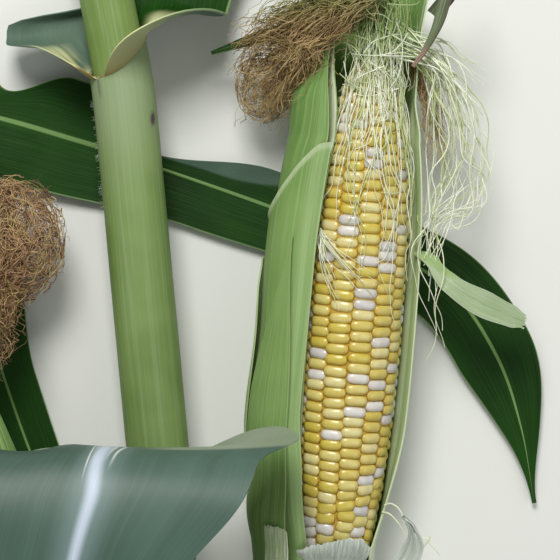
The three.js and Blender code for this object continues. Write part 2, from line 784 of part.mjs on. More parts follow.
// Dry brown silk: a tangle that is thrown over to one side of an ear's tip
function makeDrySilk({ root, middle, ends, count, seed, radius }) {
  const random = seeded(seed);
  const spreadBy = (p, by) => p.map((value) => value + by * (random() - 0.5));
  const list = [];
  for (let i = 0; i < count; i++) {
    const share = i / (count - 1);
    const end = route(ends)(share).toArray();
    const bend = route(middle)(share).toArray();
    const halfway = bend.map((value, k) => mix(value, end[k], 0.5));
    const curl = spreadBy(end, 7);
    list.push({
      points: [spreadBy(root, 2), bend, spreadBy(halfway, 7), curl, spreadBy(curl, 9)],
      radius,
      steps: 5,
    });
  }
  return locks(list);
}

const drySilk = {
  root: earAxis.point(231, 0, 4).toArray(),
  middle: [[26, 124, 56], [18, 112, 54], [14, 98, 50]],
  ends: [[-20, 108, 26], [-20, 94, 22], [-15, 78, 20], [-6, 68, 22], [4, 70, 26], [9, 84, 36]],
  count: 9,
  seed: 41,
  radius: 2.4,
};

const closedSilk = {
  root: [-129.6, -46, 39.6],
  middle: [[-134, -2, 34], [-126, -4, 44], [-116, -8, 42]],
  ends: [[-128, 44, 20], [-112, 47, 24], [-98, 36, 24], [-94, 16, 25], [-98, -8, 27], [-112, -24, 42]],
  count: 9,
  seed: 77,
  radius: 2.6,
};

// The closed ear: a spindle of husk with leaves lapped over it
function closedRadius(distance) {
  const s = distance / closedAxis.length;
  if (s < 0) return closedEar.radius * 0.62 + distance * 0.5;
  const rise = mix(0.62, 1, smooth(s / 0.3));
  const fall = s < 0.42 ? 1 : 1 - 0.84 * ((s - 0.42) / 0.58) ** 1.9;
  return closedEar.radius * rise * fall;
}

function makeClosedEar(grown) {
  const path = (t) => closedAxis.point(mix(-grown, closedAxis.length + grown, t), 0, 0);
  return bar(path, (t) => closedRadius(t * closedAxis.length) + grown, 14, 16);
}

function makeClosedHusk({ left, right, to }) {
  const surface = (a, b) => {
    const distance = mix(1, to, a);
    const turn = mix(left(a), right(a), b);
    return closedAxis.point(distance, turn, Math.max(closedRadius(distance), 6) + 1.4);
  };
  return plate(surface, () => husk.wall / 2, 14, 6);
}

// Colours of the fresh plant
const finishes = {
  culm: [0x9fb56a, 0.5],
  sheath: [0x93ab6c, 0.55],
  blade: [0x2f5a2a, 0.5],
  husk: [0x8fae68, 0.6],
  tornHusk: [0xcfdcb8, 0.7],
  kernel: [0xf0c64a, 0.3],
  silk: [0xdfe6bd, 0.6],
  drySilk: [0x8a6a45, 0.8],
};

const plant = new THREE.Group();
plant.name = "maize_cutting";

function add(name, finish, geometry) {
  const [color, roughness] = finishes[finish];
  const material = new THREE.MeshStandardMaterial({ color, roughness, metalness: 0 });
  const mesh = new THREE.Mesh(geometry, material);
  mesh.name = name;
  plant.add(mesh);
}

add("culm", "culm", makeCulm());
add("sheath_top", "sheath", makeSheath({
  stops: upperStops,
  inner: culm.upperRadius + clearance,
  left: () => 0,
  right: () => 352,
  along: upperStops.length - 1,
  across: 14,
}));
add("sheath_upper", "sheath", makeSheath({
  from: culm.joints[2] + sheath.rise,
  to: upperCollar.at,
  inner: upperCollar.inner,
  left: () => upperNotch + 2,
  right: () => upperNotch + 358,
  rim: upperRim,
  along: 9,
  across: 18,
}));
add("sheath_middle", "sheath", makeSheath({
  from: culm.joints[1] + sheath.rise,
  to: middleCollar.at,
  inner: middleCollar.inner,
  left: (a) => middleCollar.midrib - mix(140, 98, a),
  right: (a) => middleCollar.midrib + mix(84, 98, a),
  along: 8,
  across: 10,
}));
add("sheath_lower", "sheath", makeSheath({
  from: culm.joints[0] + sheath.rise,
  to: lowerCollar.at,
  inner: lowerCollar.inner,
  left: (a) => lowerCollar.midrib - mix(90, 80, a),
  right: (a) => lowerCollar.midrib + mix(54, 80, smooth(a * 2)),
  along: 8,
  across: 8,
}));
add("blade_upper_base", "blade", makeBlade(upperBlade, 0, 0.45, 11, 10, 1.4));
add("blade_upper_tip", "blade", makeBlade(upperBlade, 0.451, 1, 8, 6));
add("blade_middle_base", "blade", makeBlade(middleBlade, 0, crest, 9, 8));
add("blade_middle_tip", "blade", makeBlade(middleBlade, crest + 0.0008, 1, 18, 6));
add("blade_lower_base", "blade", makeBlade(lowerBladeBase, 0, 1, 14, 6, 1.3));
add("blade_lower_tip", "blade", makeBlade(lowerBladeTip, 0, 1, 16, 6));
add("ear_shank", "culm", makeShank(
  [
    [-36, -228, 22],
    [-14, -217, 22.5],
    [7, -184, 23.2],
    [18.5, -148, 24],
    earAxis.point(-12, 0, 0).toArray(),
    earAxis.point(-clearance, 0, 0).toArray(),
  ],
  7.6,
  13.2,
));
add("ear_kernels", "kernel", makeKernels());
for (const name of Object.keys(huskLeaves)) add(name, "husk", makeHuskLeaf(name));
for (const name of Object.keys(huskStrips)) add(name, "tornHusk", makeStrip(huskStrips[name]));
for (const name of Object.keys(stubs)) add(name, "tornHusk", makeStub(stubs[name]));

const room = huskWithRoom().add(cobWithRoom());
const knotWithRoom = makeKnot(clearance);
add("silk_front", "silk", fromManifold(makeFrontSilk().subtract(room)));
add("silk_side", "silk", fromManifold(makeSideSilk().subtract(room).subtract(knotWithRoom)));
const tipWithRoom = toManifold(makeStrip(huskStrips.husk_tip_left, clearance));
const dryRoom = room.add(knotWithRoom).add(tipWithRoom);
add("silk_dry", "drySilk", fromManifold(makeDrySilk(drySilk).subtract(dryRoom)));

add("second_shank", "culm", makeShank(
  [
    [-32, -348, 20.5],
    [-56, -338, 20.5],
    [-78, -318, 22.5],
    [-90, -290, 27],
    closedAxis.point(-12, 0, 0).toArray(),
    closedAxis.point(-clearance, 0, 0).toArray(),
  ],
  7.2,
  12.0,
));
add("second_ear", "husk", makeClosedEar(0));
add("second_husk", "husk", makeClosedHusk({
  left: (a) => -mix(150, 95, a),
  right: (a) => mix(8, -60, a ** 2),
  to: 200,
}));
const closedRoom = toManifold(makeClosedEar(clearance));
add("second_silk", "drySilk", fromManifold(makeDrySilk(closedSilk).subtract(closedRoom)));

// Stand the cutting on level ground, with the origin under the middle of its outline
plant.updateMatrixWorld(true);
const outline = new THREE.Box3().setFromObject(plant);
const centre = outline.getCenter(new THREE.Vector3());
plant.position.set(-centre.x, -centre.y, -outline.min.z);

export default plant;
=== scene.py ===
import math
import random
from bisect import bisect_right
from functools import cache

import bpy
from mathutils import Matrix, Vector, noise


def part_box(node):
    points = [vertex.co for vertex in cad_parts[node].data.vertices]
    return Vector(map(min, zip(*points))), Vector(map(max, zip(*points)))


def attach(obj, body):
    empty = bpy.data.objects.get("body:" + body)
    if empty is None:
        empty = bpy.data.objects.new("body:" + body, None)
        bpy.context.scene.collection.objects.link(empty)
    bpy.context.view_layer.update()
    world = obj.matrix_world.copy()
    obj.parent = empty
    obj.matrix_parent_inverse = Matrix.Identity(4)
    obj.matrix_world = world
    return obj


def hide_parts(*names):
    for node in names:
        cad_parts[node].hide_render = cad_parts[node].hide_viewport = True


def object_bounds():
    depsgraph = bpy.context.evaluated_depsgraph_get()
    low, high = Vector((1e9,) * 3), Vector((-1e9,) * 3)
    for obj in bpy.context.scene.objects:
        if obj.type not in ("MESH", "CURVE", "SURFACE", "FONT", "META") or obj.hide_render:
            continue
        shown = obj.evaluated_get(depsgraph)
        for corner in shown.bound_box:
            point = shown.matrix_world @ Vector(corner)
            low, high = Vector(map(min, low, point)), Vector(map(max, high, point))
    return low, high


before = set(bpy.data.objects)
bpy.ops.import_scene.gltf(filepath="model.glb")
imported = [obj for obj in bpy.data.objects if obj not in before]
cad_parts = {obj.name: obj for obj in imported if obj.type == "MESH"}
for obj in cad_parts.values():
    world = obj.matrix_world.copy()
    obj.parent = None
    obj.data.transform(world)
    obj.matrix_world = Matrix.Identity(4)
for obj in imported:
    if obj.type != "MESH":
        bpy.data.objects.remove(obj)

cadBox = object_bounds()
noise.seed_set(4)  # noise_vector is shifted by this seed, or by the clock where none is set

# Places are worked out in millimetres, as the solids were, and set down in metres
mm = 0.001
kernelCorner = Vector((7.3804, -116.6713, 10.1726))  # lowest corner of the kernels before they were set down
shift = Vector(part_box("ear_kernels")[0]) - kernelCorner * mm
upward = Vector((0, 0, 1))
nearTurn = 6.28  # about a full turn, for angles picked at random


def place(point):
    return Vector(point) * mm + shift


def mix(a, b, t):
    return a + (b - a) * t


def clamp01(t):
    return min(1.0, max(0.0, t))


def smooth(t):
    t = clamp01(t)
    return t * t * (3 - 2 * t)


def through(pairs, x):  # a number that changes smoothly through (place, value) pairs
    if x <= pairs[0][0]:
        return pairs[0][1]
    for (x0, y0), (x1, y1) in zip(pairs, pairs[1:]):
        if x <= x1:
            return mix(y0, y1, smooth((x - x0) / (x1 - x0)))
    return pairs[-1][1]


def profile(*pairs):
    return lambda x: through(pairs, x)


def bell(x, middle, width):
    return math.exp(-(((x - middle) / width) ** 2))


def wobble(x, y=0.0, z=0.0):  # smooth noise, about -1 to 1
    return noise.noise(Vector((x, y, z))) * 1.6


class Axis:  # a straight line with an angle round it: 0 faces up, 90 faces +X
    def __init__(self, start, end):
        self.start = Vector(start)
        line = Vector(end) - self.start
        self.length = line.length
        self.along = line.normalized()
        self.right = self.along.cross(upward).normalized()
        self.front = self.right.cross(self.along)

    def point(self, distance, degrees, radius):
        turn = math.radians(degrees)
        outward = self.right * math.sin(turn) + self.front * math.cos(turn)
        return self.start + self.along * distance + outward * radius


class LeaningAxis(Axis):  # one that bends to the left past a place along it
    def __init__(self, start, end, bendAt, lean):
        super().__init__(start, end)
        self.bendAt = bendAt
        self.lean = lean

    def point(self, distance, degrees, radius):
        past = distance - self.bendAt
        aside = self.lean * (past + math.hypot(past, 10)) / 2
        return super().point(distance, degrees, radius) - self.right * aside


def roundSurface(axis, radius, turned=0):
    return lambda a, b: axis.point(a * axis.length, 360 * b + turned, radius(a * axis.length))


class Route:  # a smooth curve through points, read by share of its length
    def __init__(self, points, leader=None):
        self.points = [Vector(p) for p in points]
        self.table = leader.table if leader else self.measure()
        self.length = self.table[-1]

    def raw(self, s):
        last = len(self.points) - 1
        place01 = clamp01(s) * last
        i = min(int(place01), last - 1)
        t = place01 - i
        p1, p2 = self.points[i], self.points[i + 1]
        p0 = self.points[i - 1] if i > 0 else p1 * 2 - p2
        p3 = self.points[i + 2] if i + 2 <= last else p2 * 2 - p1
        m1, m2 = (p2 - p0) * 0.5, (p3 - p1) * 0.5
        t2, t3 = t * t, t * t * t
        return (p1 * (2 * t3 - 3 * t2 + 1) + m1 * (t3 - 2 * t2 + t)
                + p2 * (3 * t2 - 2 * t3) + m2 * (t3 - t2))

    def measure(self, steps=240):
        table = [0.0]
        before = self.raw(0)
        for i in range(1, steps + 1):
            here = self.raw(i / steps)
            table.append(table[-1] + (here - before).length)
            before = here
        return table

    def __call__(self, t):
        goal = clamp01(t) * self.length
        last = len(self.table) - 1
        low = min(bisect_right(self.table, goal), last) - 1
        step = self.table[low + 1] - self.table[low]
        return self.raw((low + (goal - self.table[low]) / max(step, 1e-9)) / last)

    def heading(self, t, reach=2e-3):
        return (self(min(1, t + reach)) - self(max(0, t - reach))).normalized()


def colour(code):  # a screen colour such as 0x8FAE68, as Blender's linear colour
    parts = [(code >> bits & 255) / 255 for bits in (16, 8, 0)]
    return tuple(c / 12.92 if c <= 0.04045 else ((c + 0.055) / 1.055) ** 2.4 for c in parts) + (1.0,)


# Shader sums are written as plain Python sums
class Wire:
    def __init__(self, look, socket):
        self.look = look
        self.socket = socket

    def sum(self, operation, *values):
        return self.look.node("ShaderNodeMath", {"operation": operation}, dict(enumerate(values)))

    def __add__(self, other):
        return self.sum("ADD", self, other)

    def __sub__(self, other):
        return self.sum("SUBTRACT", self, other)

    def __mul__(self, other):
        return self.sum("MULTIPLY", self, other)

    def __abs__(self):
        return self.sum("ABSOLUTE", self)

    def between(self, low, high):
        return self * (high - low) + low

    def band(self, low, high):  # 0 below low, 1 above high, or the other way round
        limits = {"Value": self, "From Min": low, "From Max": high}
        return self.look.node("ShaderNodeMapRange", {"interpolation_type": "SMOOTHSTEP"}, limits)


class Look:  # a material
    def __init__(self, name):
        self.material = bpy.data.materials.new(name)
        self.material.use_nodes = True
        self.tree = self.material.node_tree
        self.tree.nodes.clear()

    def node(self, kind, settings=None, inputs=None, out=0):
        node = self.tree.nodes.new(kind)
        for key, value in (settings or {}).items():
            setattr(node, key, value)
        for key, value in (inputs or {}).items():
            if isinstance(value, Wire):
                self.tree.links.new(value.socket, node.inputs[key])
            else:
                node.inputs[key].default_value = value
        return Wire(self, node.outputs[out])

    def split(self, vector):
        outputs = self.node("ShaderNodeSeparateXYZ", None, {0: vector}).socket.node.outputs
        return [Wire(self, outputs[i]) for i in range(3)]

    def uv(self):
        return self.split(self.node("ShaderNodeUVMap", {"uv_map": "UVMap"}))[:2]

    def here(self):
        return self.node("ShaderNodeTexCoord", out="Object")

    def shade(self, name):  # an attribute's colour
        return self.node("ShaderNodeAttribute", {"attribute_name": name}, out="Color")

    def amount(self, name):  # an attribute's number
        return self.node("ShaderNodeAttribute", {"attribute_name": name}, out="Fac")

    def grain(self, vector, scale, detail=3.0, roughness=0.6):
        values = {"Vector": vector, "Scale": scale, "Detail": detail, "Roughness": roughness}
        return self.node("ShaderNodeTexNoise", None, values, out="Fac")

    def streaks(self, u, v, detail=2.0, roughness=0.5):
        return self.grain(self.node("ShaderNodeCombineXYZ", None, {0: u, 1: v}), 1.0, detail, roughness)

    def blend(self, factor, first, second, way="MIX"):
        settings = {"data_type": "RGBA", "blend_type": way, "clamp_factor": True}
        return self.node("ShaderNodeMix", settings, {0: factor, 6: first, 7: second}, out=2)

    def bump(self, height, strength, distance):
        values = {"Strength": strength, "Distance": distance, "Height": height}
        return self.node("ShaderNodeBump", None, values, out="Normal")

    def finish(self, values):
        shader = self.node("ShaderNodeBsdfPrincipled", None, values)
        end = self.tree.nodes.new("ShaderNodeOutputMaterial")
        self.tree.links.new(shader.socket, end.inputs["Surface"])
        return self.material


def glow(weight, radius, scale=0.5):  # light that passes a little way into a piece
    return {"Subsurface Weight": weight, "Subsurface Radius": radius, "Subsurface Scale": scale}


leafBase = {  # what a leaf-like finish has where it names nothing of its own
    "base": 0xD6DDBE, "burnt": 0x8A6A35, "run": 2, "ribWide": 0.05, "ribCore": 0.45, "ribLines": 0.6,
    "rough": 0.5, "relief": 0.6, "glow": 0.0, "shine": 0.35,
}
leafFinishes = {
    "darkBlade": {
        "body": 0x17400A, "deep": 0x0C2A03, "pale": 0x305E18, "edge": 0x86A26C, "base": 0xC9CC9A,
        "rib": 0x86A868, "ribDeep": 0x5C8240, "ribWide": 0.055, "ribShow": 0.75, "veins": 95, "run": 5,
        "streak": 0.45, "relief": 0.4, "cloudScale": 14, "shine": 0.15, "bloom": (0x40564A, 0x647A68),
    },
    "bladeUnderside": {
        "body": 0x5E7666, "deep": 0x48624C, "pale": 0x7E9686, "edge": 0xB4C2AA, "base": 0xB2B98A,
        "rib": 0xA0B39C, "ribDeep": 0x7C947A, "ribWide": 0.07, "ribShow": 0.9, "veins": 85, "run": 5,
        "streak": 0.6, "rough": 0.55, "relief": 0.5, "cloudScale": 16, "bloom": (0x5A7066, 0x7F948A),
        "burnt": 0x94702F,
    },
    "bluishBlade": {
        "body": 0x4C665A, "deep": 0x3C5448, "pale": 0x5C766C, "edge": 0x9CB092, "base": 0xC8CEC8,
        # the pale bluish-white rib is the midrib's own pale colour with a painted highlight on it
        "rib": 0xC6D2E2, "ribDeep": 0x8CA0A2, "ribWide": 0.075, "ribShow": 0.9, "ribCore": 0.05,
        "ribLines": 0.15, "veins": 120, "run": 3, "streak": 0.22, "rough": 0.42, "relief": 0.12,
        # the first number here sets how far the painted sheen beside the rib spreads
        "cloudScale": 9, "shine": 0.4, "halo": 0.26, "drift": 0.047, "bloom": (0x7E8C74, 0x9AA48E),
        "creases": ((0.466, 0.5, 0.18), (0.483, 0.3, 0.15), (0.541, -0.1, 0.155), (0.562, -0.15, 0.165)),
    },
    "husk": {
        "body": 0x80A05A, "deep": 0x668A44, "pale": 0x9FB87A, "edge": 0xA3BA80, "base": 0xC6D2AC,
        "veins": 38, "streak": 0.75, "relief": 0.35, "cloudScale": 12, "glow": 0.05,
    },
    "innerHusk": {
        "body": 0xC3CFA6, "deep": 0xA7BB87, "pale": 0xE0E6D0, "edge": 0xE6EAD8, "veins": 22, "run": 2.5,
        "streak": 0.8, "rough": 0.55, "cloudScale": 18, "glow": 0.08,
    },
    "flap": {
        "body": 0xAEC09C, "deep": 0x98AE80, "pale": 0xCAD5BC, "edge": 0xE4E9D6, "base": 0x93AE6C,
        "veins": 26, "streak": 0.6, "rough": 0.55, "cloudScale": 18, "glow": 0.06,
    },
    "tornHusk": {
        "body": 0xDAE1D8, "deep": 0xC0CBBC, "pale": 0xF0F3EF, "edge": 0xEEF1EA, "veins": 60, "run": 2.5,
        "streak": 0.8, "rough": 0.6, "relief": 0.8, "cloudScale": 30, "glow": 0.05,
    },
    "darkTip": {
        "body": 0x5C6B48, "deep": 0x434A36, "pale": 0x8C957A, "edge": 0x5E4A44, "burnt": 0x9A7E70,
        "rib": 0xB4B49A, "ribDeep": 0x8A8A6C, "ribWide": 0.12, "ribShow": 0.4, "veins": 12, "streak": 0.7,
        "cloudScale": 30,
    },
    "sheath": {
        "body": 0x78914C, "deep": 0x637F3A, "pale": 0x90A674, "edge": 0x748F47, "burnt": 0x4E3F4A,
        "veins": 46, "run": 1.3, "streak": 0.5, "relief": 0.3, "cloudScale": 15,
        # the bloom colours also paint a highlight down the front of the upper sheath
        "bloom": (0x778A66, 0x98A588),
    },
}


# A leaf-like finish: u runs along the leaf and v across it
def leafLook(name, own):
    pick = {**leafBase, **own}
    look = Look(name)
    shades = [colour(pick[key]) for key in ("body", "deep", "pale", "edge", "base", "burnt")]
    body, deep, pale, edge, base, burnt = shades
    along, across = look.uv()
    side = (across - 0.5) * 2
    if "drift" in pick:  # the rib moves towards one margin
        side = side - along.band(0.15, 0.19) * pick["drift"] - 0.028
    side = abs(side)
    runs, veins = along * pick["run"], across * pick["veins"]
    lines = look.streaks(runs, veins, 3.0, 0.6)
    fine = look.streaks(runs * 3, veins * 3.1, 2.0, 0.6)
    cloud = look.grain(look.here(), pick["cloudScale"])
    shade = look.blend(cloud.band(0.35, 0.68), deep, body)
    shade = look.blend(lines.band(0.42, 0.72) * pick["streak"], shade, pale)
    shade = look.blend(fine.band(0.5, 0.75) * pick["streak"] * 0.6, shade, deep)
    rib = side.band(pick["ribWide"], pick["ribWide"] * pick["ribCore"])
    if "halo" in pick:  # pale shoulders beside the rib as a painted sheen, broad darker bands as painted shade of folds, and creases at the crest
        # painted shade: broad darker bands that stand for folds
        shade = look.blend(look.streaks(along * 1.2, across * 9).band(0.5, 0.72) * 0.4, shade, deep)
        # painted sheen: pale shoulders beside the rib
        shade = look.blend(side.band(pick["halo"], 0.0) * 0.5, shade, colour(pick["ribDeep"]))
        for at, slope, end in pick["creases"]:
            line = abs(across - at - (along - 0.13) * slope).band(0.0065, 0.001)
            shade = look.blend(line * along.band(0.118, 0.13) * along.band(end, end - 0.03), shade, base)
    if "rib" in pick:
        ribLines = look.streaks(along * 6, across * 260).band(0.4, 0.65) * pick["ribLines"]
        ribShade = look.blend(ribLines, colour(pick["rib"]), colour(pick["ribDeep"]))
        shade = look.blend(rib * pick["ribShow"], shade, ribShade)
    shade = look.blend(side.band(0.965, 0.995) * 0.75, shade, edge)
    if "bloom" in pick:  # a waxy bloom; on the upper sheath the same blend also paints a highlight
        waxy = cloud.band(0.3, 0.7) * 0.7 + fine.band(0.4, 0.7) * 0.3
        waxy = look.blend(waxy, *[colour(code) for code in pick["bloom"]])
        shade = look.blend(look.amount("bloom"), shade, waxy)
    shade = look.blend(look.amount("pale"), shade, base)
    return look.finish({
        "Base Color": look.blend(look.amount("burnt"), shade, burnt),
        "Roughness": cloud.between(pick["rough"], pick["rough"] + 0.12),
        "Normal": look.bump(lines * 0.8 + fine * 0.5 + rib * 1.2, pick["relief"], 0.0006),
        **glow(pick["glow"], (0.002, 0.003, 0.001)),
        "Specular IOR Level": pick["shine"],
    })


looks = {name: leafLook(name, own) for name, own in leafFinishes.items()}
print("leaf finishes ready")


def clearChoice():
    bpy.ops.object.select_all(action="DESELECT")


def settle(piece, slotName, *nodes):
    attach(piece, "root")
    if nodes:
        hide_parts(*nodes)


# A grid is laid over a surface given by two shares, and gets a wall
def gridPiece(name, surface, grid, wall, finishes, slotName, nodes=(), rib=None, offset=0.0, tones=None):
    clearChoice()
    bpy.ops.mesh.primitive_grid_add(x_subdivisions=grid[0], y_subdivisions=grid[1], size=1)
    piece = bpy.context.object
    mesh = piece.data
    piece.name = mesh.name = name
    shares = [(v.co.x + 0.5, 0.5 - v.co.y) for v in mesh.vertices]
    for vertex, (a, b) in zip(mesh.vertices, shares):
        vertex.co = place(surface(a, b))
    for tone, value in (tones or {}).items():
        layer = mesh.attributes.new(tone, "FLOAT", "POINT")
        for i, (a, b) in enumerate(shares):
            layer.data[i].value = value(a, b)
    for finish in finishes:
        mesh.materials.append(looks[finish])
    shell = piece.modifiers.new("wall", "SOLIDIFY")
    shell.thickness = wall * mm
    shell.offset = offset
    shell.material_offset = len(finishes) - 1
    if rib:
        group = piece.vertex_groups.new(name="rib")
        for vertex, (a, b) in zip(mesh.vertices, shares):
            group.add([vertex.index], rib(a, b), "REPLACE")
        shell.vertex_group = "rib"
    bpy.ops.object.modifier_apply(modifier="wall")
    piece.vertex_groups.clear()
    bpy.ops.object.shade_smooth_by_angle(angle=math.radians(50))
    settle(piece, slotName, *nodes)


def faceOut(fill=False):  # the chosen piece's faces turn outwards, and its open ends are closed if asked
    bpy.ops.object.mode_set(mode="EDIT")
    bpy.ops.mesh.select_all(action="SELECT")
    if fill:
        bpy.ops.mesh.fill_holes(sides=0)
    bpy.ops.mesh.normals_make_consistent(inside=False)
    bpy.ops.object.mode_set(mode="OBJECT")


def setOut(name, data):
    piece = bpy.data.objects.new(name, data)
    bpy.context.collection.objects.link(piece)
    return piece


def chooseOnly(piece):
    clearChoice()
    piece.select_set(True)
    bpy.context.view_layer.objects.active = piece


# Stalk and sheaths
culm = {
    "foot": (-26.3, -365.5, 20.4), "top": (-75.2, 160, 26.0), "radius": 12.2, "upperRadius": 10.5,
    "joints": (22, 143, 281, 437), "ringHeight": 0.9, "lean": 0.095,
}
stalkAxis = LeaningAxis(culm["foot"], culm["top"], culm["joints"][3] + 15, culm["lean"])


def culmRadius(distance):
    body = mix(culm["radius"], culm["upperRadius"], smooth((distance - culm["joints"][3]) / 4))
    ring = max(bell(distance, at, 2.2) for at in culm["joints"][:3])
    groove = max(bell(distance, at + 3.2, 1.2) for at in culm["joints"][:3])
    return body + culm["ringHeight"] * ring - 0.35 * groove


gridPiece("stalk", roundSurface(stalkAxis, culmRadius, 180), (260, 48), 1.0, ["sheath"], "culm", ["culm"],
          offset=-1.0)


def pithLook():  # pale pith with darker strands that show as dots on a cut
    look = Look("pith")
    spots = look.node("ShaderNodeTexVoronoi", None, {"Vector": look.here(), "Scale": 620.0}, out="Distance")
    cloud = look.grain(look.here(), 90)
    pale = look.blend(cloud.band(0.35, 0.7), colour(0xD8DEB8), colour(0xC3CC98))
    return look.finish({
        "Base Color": look.blend(spots.band(0.26, 0.14), pale, colour(0x8C9A5C)),
        "Roughness": 0.6,
        "Normal": look.bump(spots, 0.3, 0.0004),
    })


def plug(name, at, inward, radius):  # closes a cut end of the stalk
    clearChoice()
    bpy.ops.mesh.primitive_cylinder_add(vertices=48, radius=1, depth=1, end_fill_type="TRIFAN")
    piece = bpy.context.object
    piece.name = piece.data.name = name
    for vertex in piece.data.vertices:
        x, y, z = vertex.co
        turn = math.degrees(math.atan2(x, y))
        distance = at + inward * (0.3 + 5 * (z + 0.5))
        vertex.co = place(stalkAxis.point(distance, turn, math.hypot(x, y) * (radius - 0.9)))
    faceOut()
    piece.data.materials.append(looks["pith"])
    settle(piece, "culm")


looks["pith"] = pithLook()
plug("lower_cut", 0, 1, culm["radius"])
plug("upper_cut", stalkAxis.length, -1, culm["upperRadius"])

upperNotch = -43  # where the rim of the upper sheath is lowest, in degrees
upperRise = 17


def upperRim(degrees):
    turned = (degrees - upperNotch) % 360
    return upperRise * smooth(turned / 150 if turned <= 150 else (360 - turned) / 190)


upperCollar = {"at": 455, "midrib": 165}
middleCollar = {"at": 262, "midrib": -35}
lowerCollar = {"at": 112, "midrib": 180}


sheathShape = {"inner": 12.6, "half": 0.65, "wall": 0.8}


def sheathSurface(pick):
    rim, inner = pick.get("rim", lambda degrees: 0), pick.get("inner", sheathShape["inner"])

    def surface(a, b):
        degrees = mix(pick["left"](a), pick["right"](a), b)
        distance = mix(pick["from"], pick["to"] + rim(degrees), a)
        swell = 0.15 * wobble(distance * 0.02, degrees * 0.01)
        return stalkAxis.point(distance, degrees, inner + sheathShape["half"] + swell)
    return surface


def sheathBloomAndHighlight(a, b):  # a waxy bloom under the collar, which thins out downwards, and a painted highlight down the front
    side = abs((b + 0.36) % 1 - 0.5) / 0.16  # the painted highlight is strongest along the middle of what faces up
    return 0.5 * smooth((a - 0.62) / 0.34) + 0.16 * math.exp(-side * side)


def sheathSpots(a, b):  # a purple spot, and a brown seam under the notch
    spot = math.exp(-(((a - 0.825) / 0.014) ** 2) - (((b - 0.29) / 0.02) ** 2))
    seam = 0.6 * bell(min(b, 1 - b), 0, 0.01) * smooth((a - 0.94) / 0.03)
    return max(smooth(spot * 1.5), seam)


sheaths = {
    "sheath_top": {
        "from": 442, "to": stalkAxis.length, "left": lambda a: 180, "right": lambda a: 540, "inner": 10.85,
        "grid": (60, 60),
    },
    "sheath_upper": {
        "from": 285, "to": upperCollar["at"], "left": lambda a: upperNotch,
        "right": lambda a: upperNotch + 360, "rim": upperRim, "grid": (150, 120),
        "tones": {"bloom": sheathBloomAndHighlight, "burnt": sheathSpots},
    },
    "sheath_middle": {
        "from": 147, "to": middleCollar["at"], "left": lambda a: -35 - mix(140, 98, a),
        "right": lambda a: -35 + mix(84, 98, a), "grid": (70, 44),
    },
    "sheath_lower": {
        "from": 26, "to": lowerCollar["at"], "left": lambda a: 180 - mix(90, 80, a),
        "right": lambda a: 180 + mix(54, 80, smooth(a * 2)), "grid": (60, 36),
    },
}
for name, pick in sheaths.items():
    gridPiece(name + "_leaf", sheathSurface(pick), pick["grid"], sheathShape["wall"], ["sheath"], "sheath",
              [name], tones=pick.get("tones"))
print("stalk and sheaths ready")


# Blades
rolled = 14.2  # radius of a blade's foot, where it still wraps the stalk
midribThick = 4.0
lying = 3.7  # height of a blade that lies on the ground
gather = 1.7  # rows lie closer where the upper blade leaves its collar


def collarStart(collar, lift):
    return stalkAxis.point(collar["at"] + lift, collar["midrib"], rolled)


def towardsCulm(collar):
    turn = math.radians(collar["midrib"])
    return stalkAxis.right * -math.sin(turn) - stalkAxis.front * math.cos(turn)


def level(*shares):
    return 0


def bladeSurface(shape):
    at = Route(shape["spine"])
    facing = Route(shape["normals"], at)
    start, end, ruffle = [shape.get(key, level) for key in ("start", "end", "ruffle")]
    skin, gathered = shape.get("skin", 0.6), shape.get("gather", 1)

    @cache
    def frameAt(t):
        tangent = at.heading(t)
        up = facing(t)
        up = (up - tangent * up.dot(tangent)).normalized()
        return at(t), tangent, up, tangent.cross(up).normalized()

    def surface(a, b):
        t, u = a ** gathered, 2 * b - 1
        centre, tangent, up, side = frameAt(t)
        half = shape["left" if u < 0 else "right"](t)
        opened = smooth(t / shape["open"][0 if u < 0 else 1])
        bend = mix(1 / shape["rolled"], shape["flat"], opened)
        turn = u * half * bend
        ahead = start(u) * (1 - smooth(t / 0.12)) + end(t, u)
        return (centre + side * (math.sin(turn) * (1 / bend - skin))
                + up * ((1 - math.cos(turn)) / bend + ruffle(t, u) + math.cos(turn) * skin) + tangent * ahead)
    return surface


def upperStart(degrees):
    return upperRim(degrees) - upperRise - culm["lean"] * rolled * math.sin(math.radians(degrees))


skyward = [(0, 0, 1)]
upperBlade = {
    "spine": [
        collarStart(upperCollar, upperRise + 1.3), collarStart(upperCollar, upperRise + 9), (-70, 128, 8.6),
        (-64, 150, 5), (-52, 172, 4), (-29, 198, lying), (8, 216, lying), (52, 222, lying), (98, 216, lying),
        (142, 199, lying), (180, 172, 3.3),
    ],
    "normals": [towardsCulm(upperCollar)] * 2 + [(-0.1, 0.1, 1)] + skyward * 8,
    "left": profile(
        (0, 37.2), (0.028, 48), (0.038, 51), (0.047, 50), (0.061, 15), (0.1, 22), (0.3, 40), (0.75, 26),
        (1, 1),
    ),
    "right": profile((0, 50.9), (0.1, 50), (0.4, 41), (0.75, 26), (1, 1)),
    "rolled": rolled, "open": (0.045, 0.05), "flat": 1 / 190, "gather": gather,
    "start": lambda u: upperStart(upperCollar["midrib"] - u * (150 if u < 0 else 205)),
    "ruffle": lambda t, u: 4 * smooth(t / 0.1) * abs(u) ** 3 * (1 + math.sin(29 * t + (0 if u < 0 else 2))),
}


def middleRuffle(t, u):  # the right margin stands up behind the crest, the left one droops over it
    wave = 3 * smooth((t - 0.2) / 0.2) * abs(u) ** 3 * math.sin(19 * t + (1 if u < 0 else 3))
    standing = 11 * smooth((-u - 0.55) / 0.45) * bell(t, 0.097, 0.0145)
    drooping = 6 * smooth((u - 0.3) / 0.7) * bell(t, 0.13, 0.05)
    return wave + standing - drooping


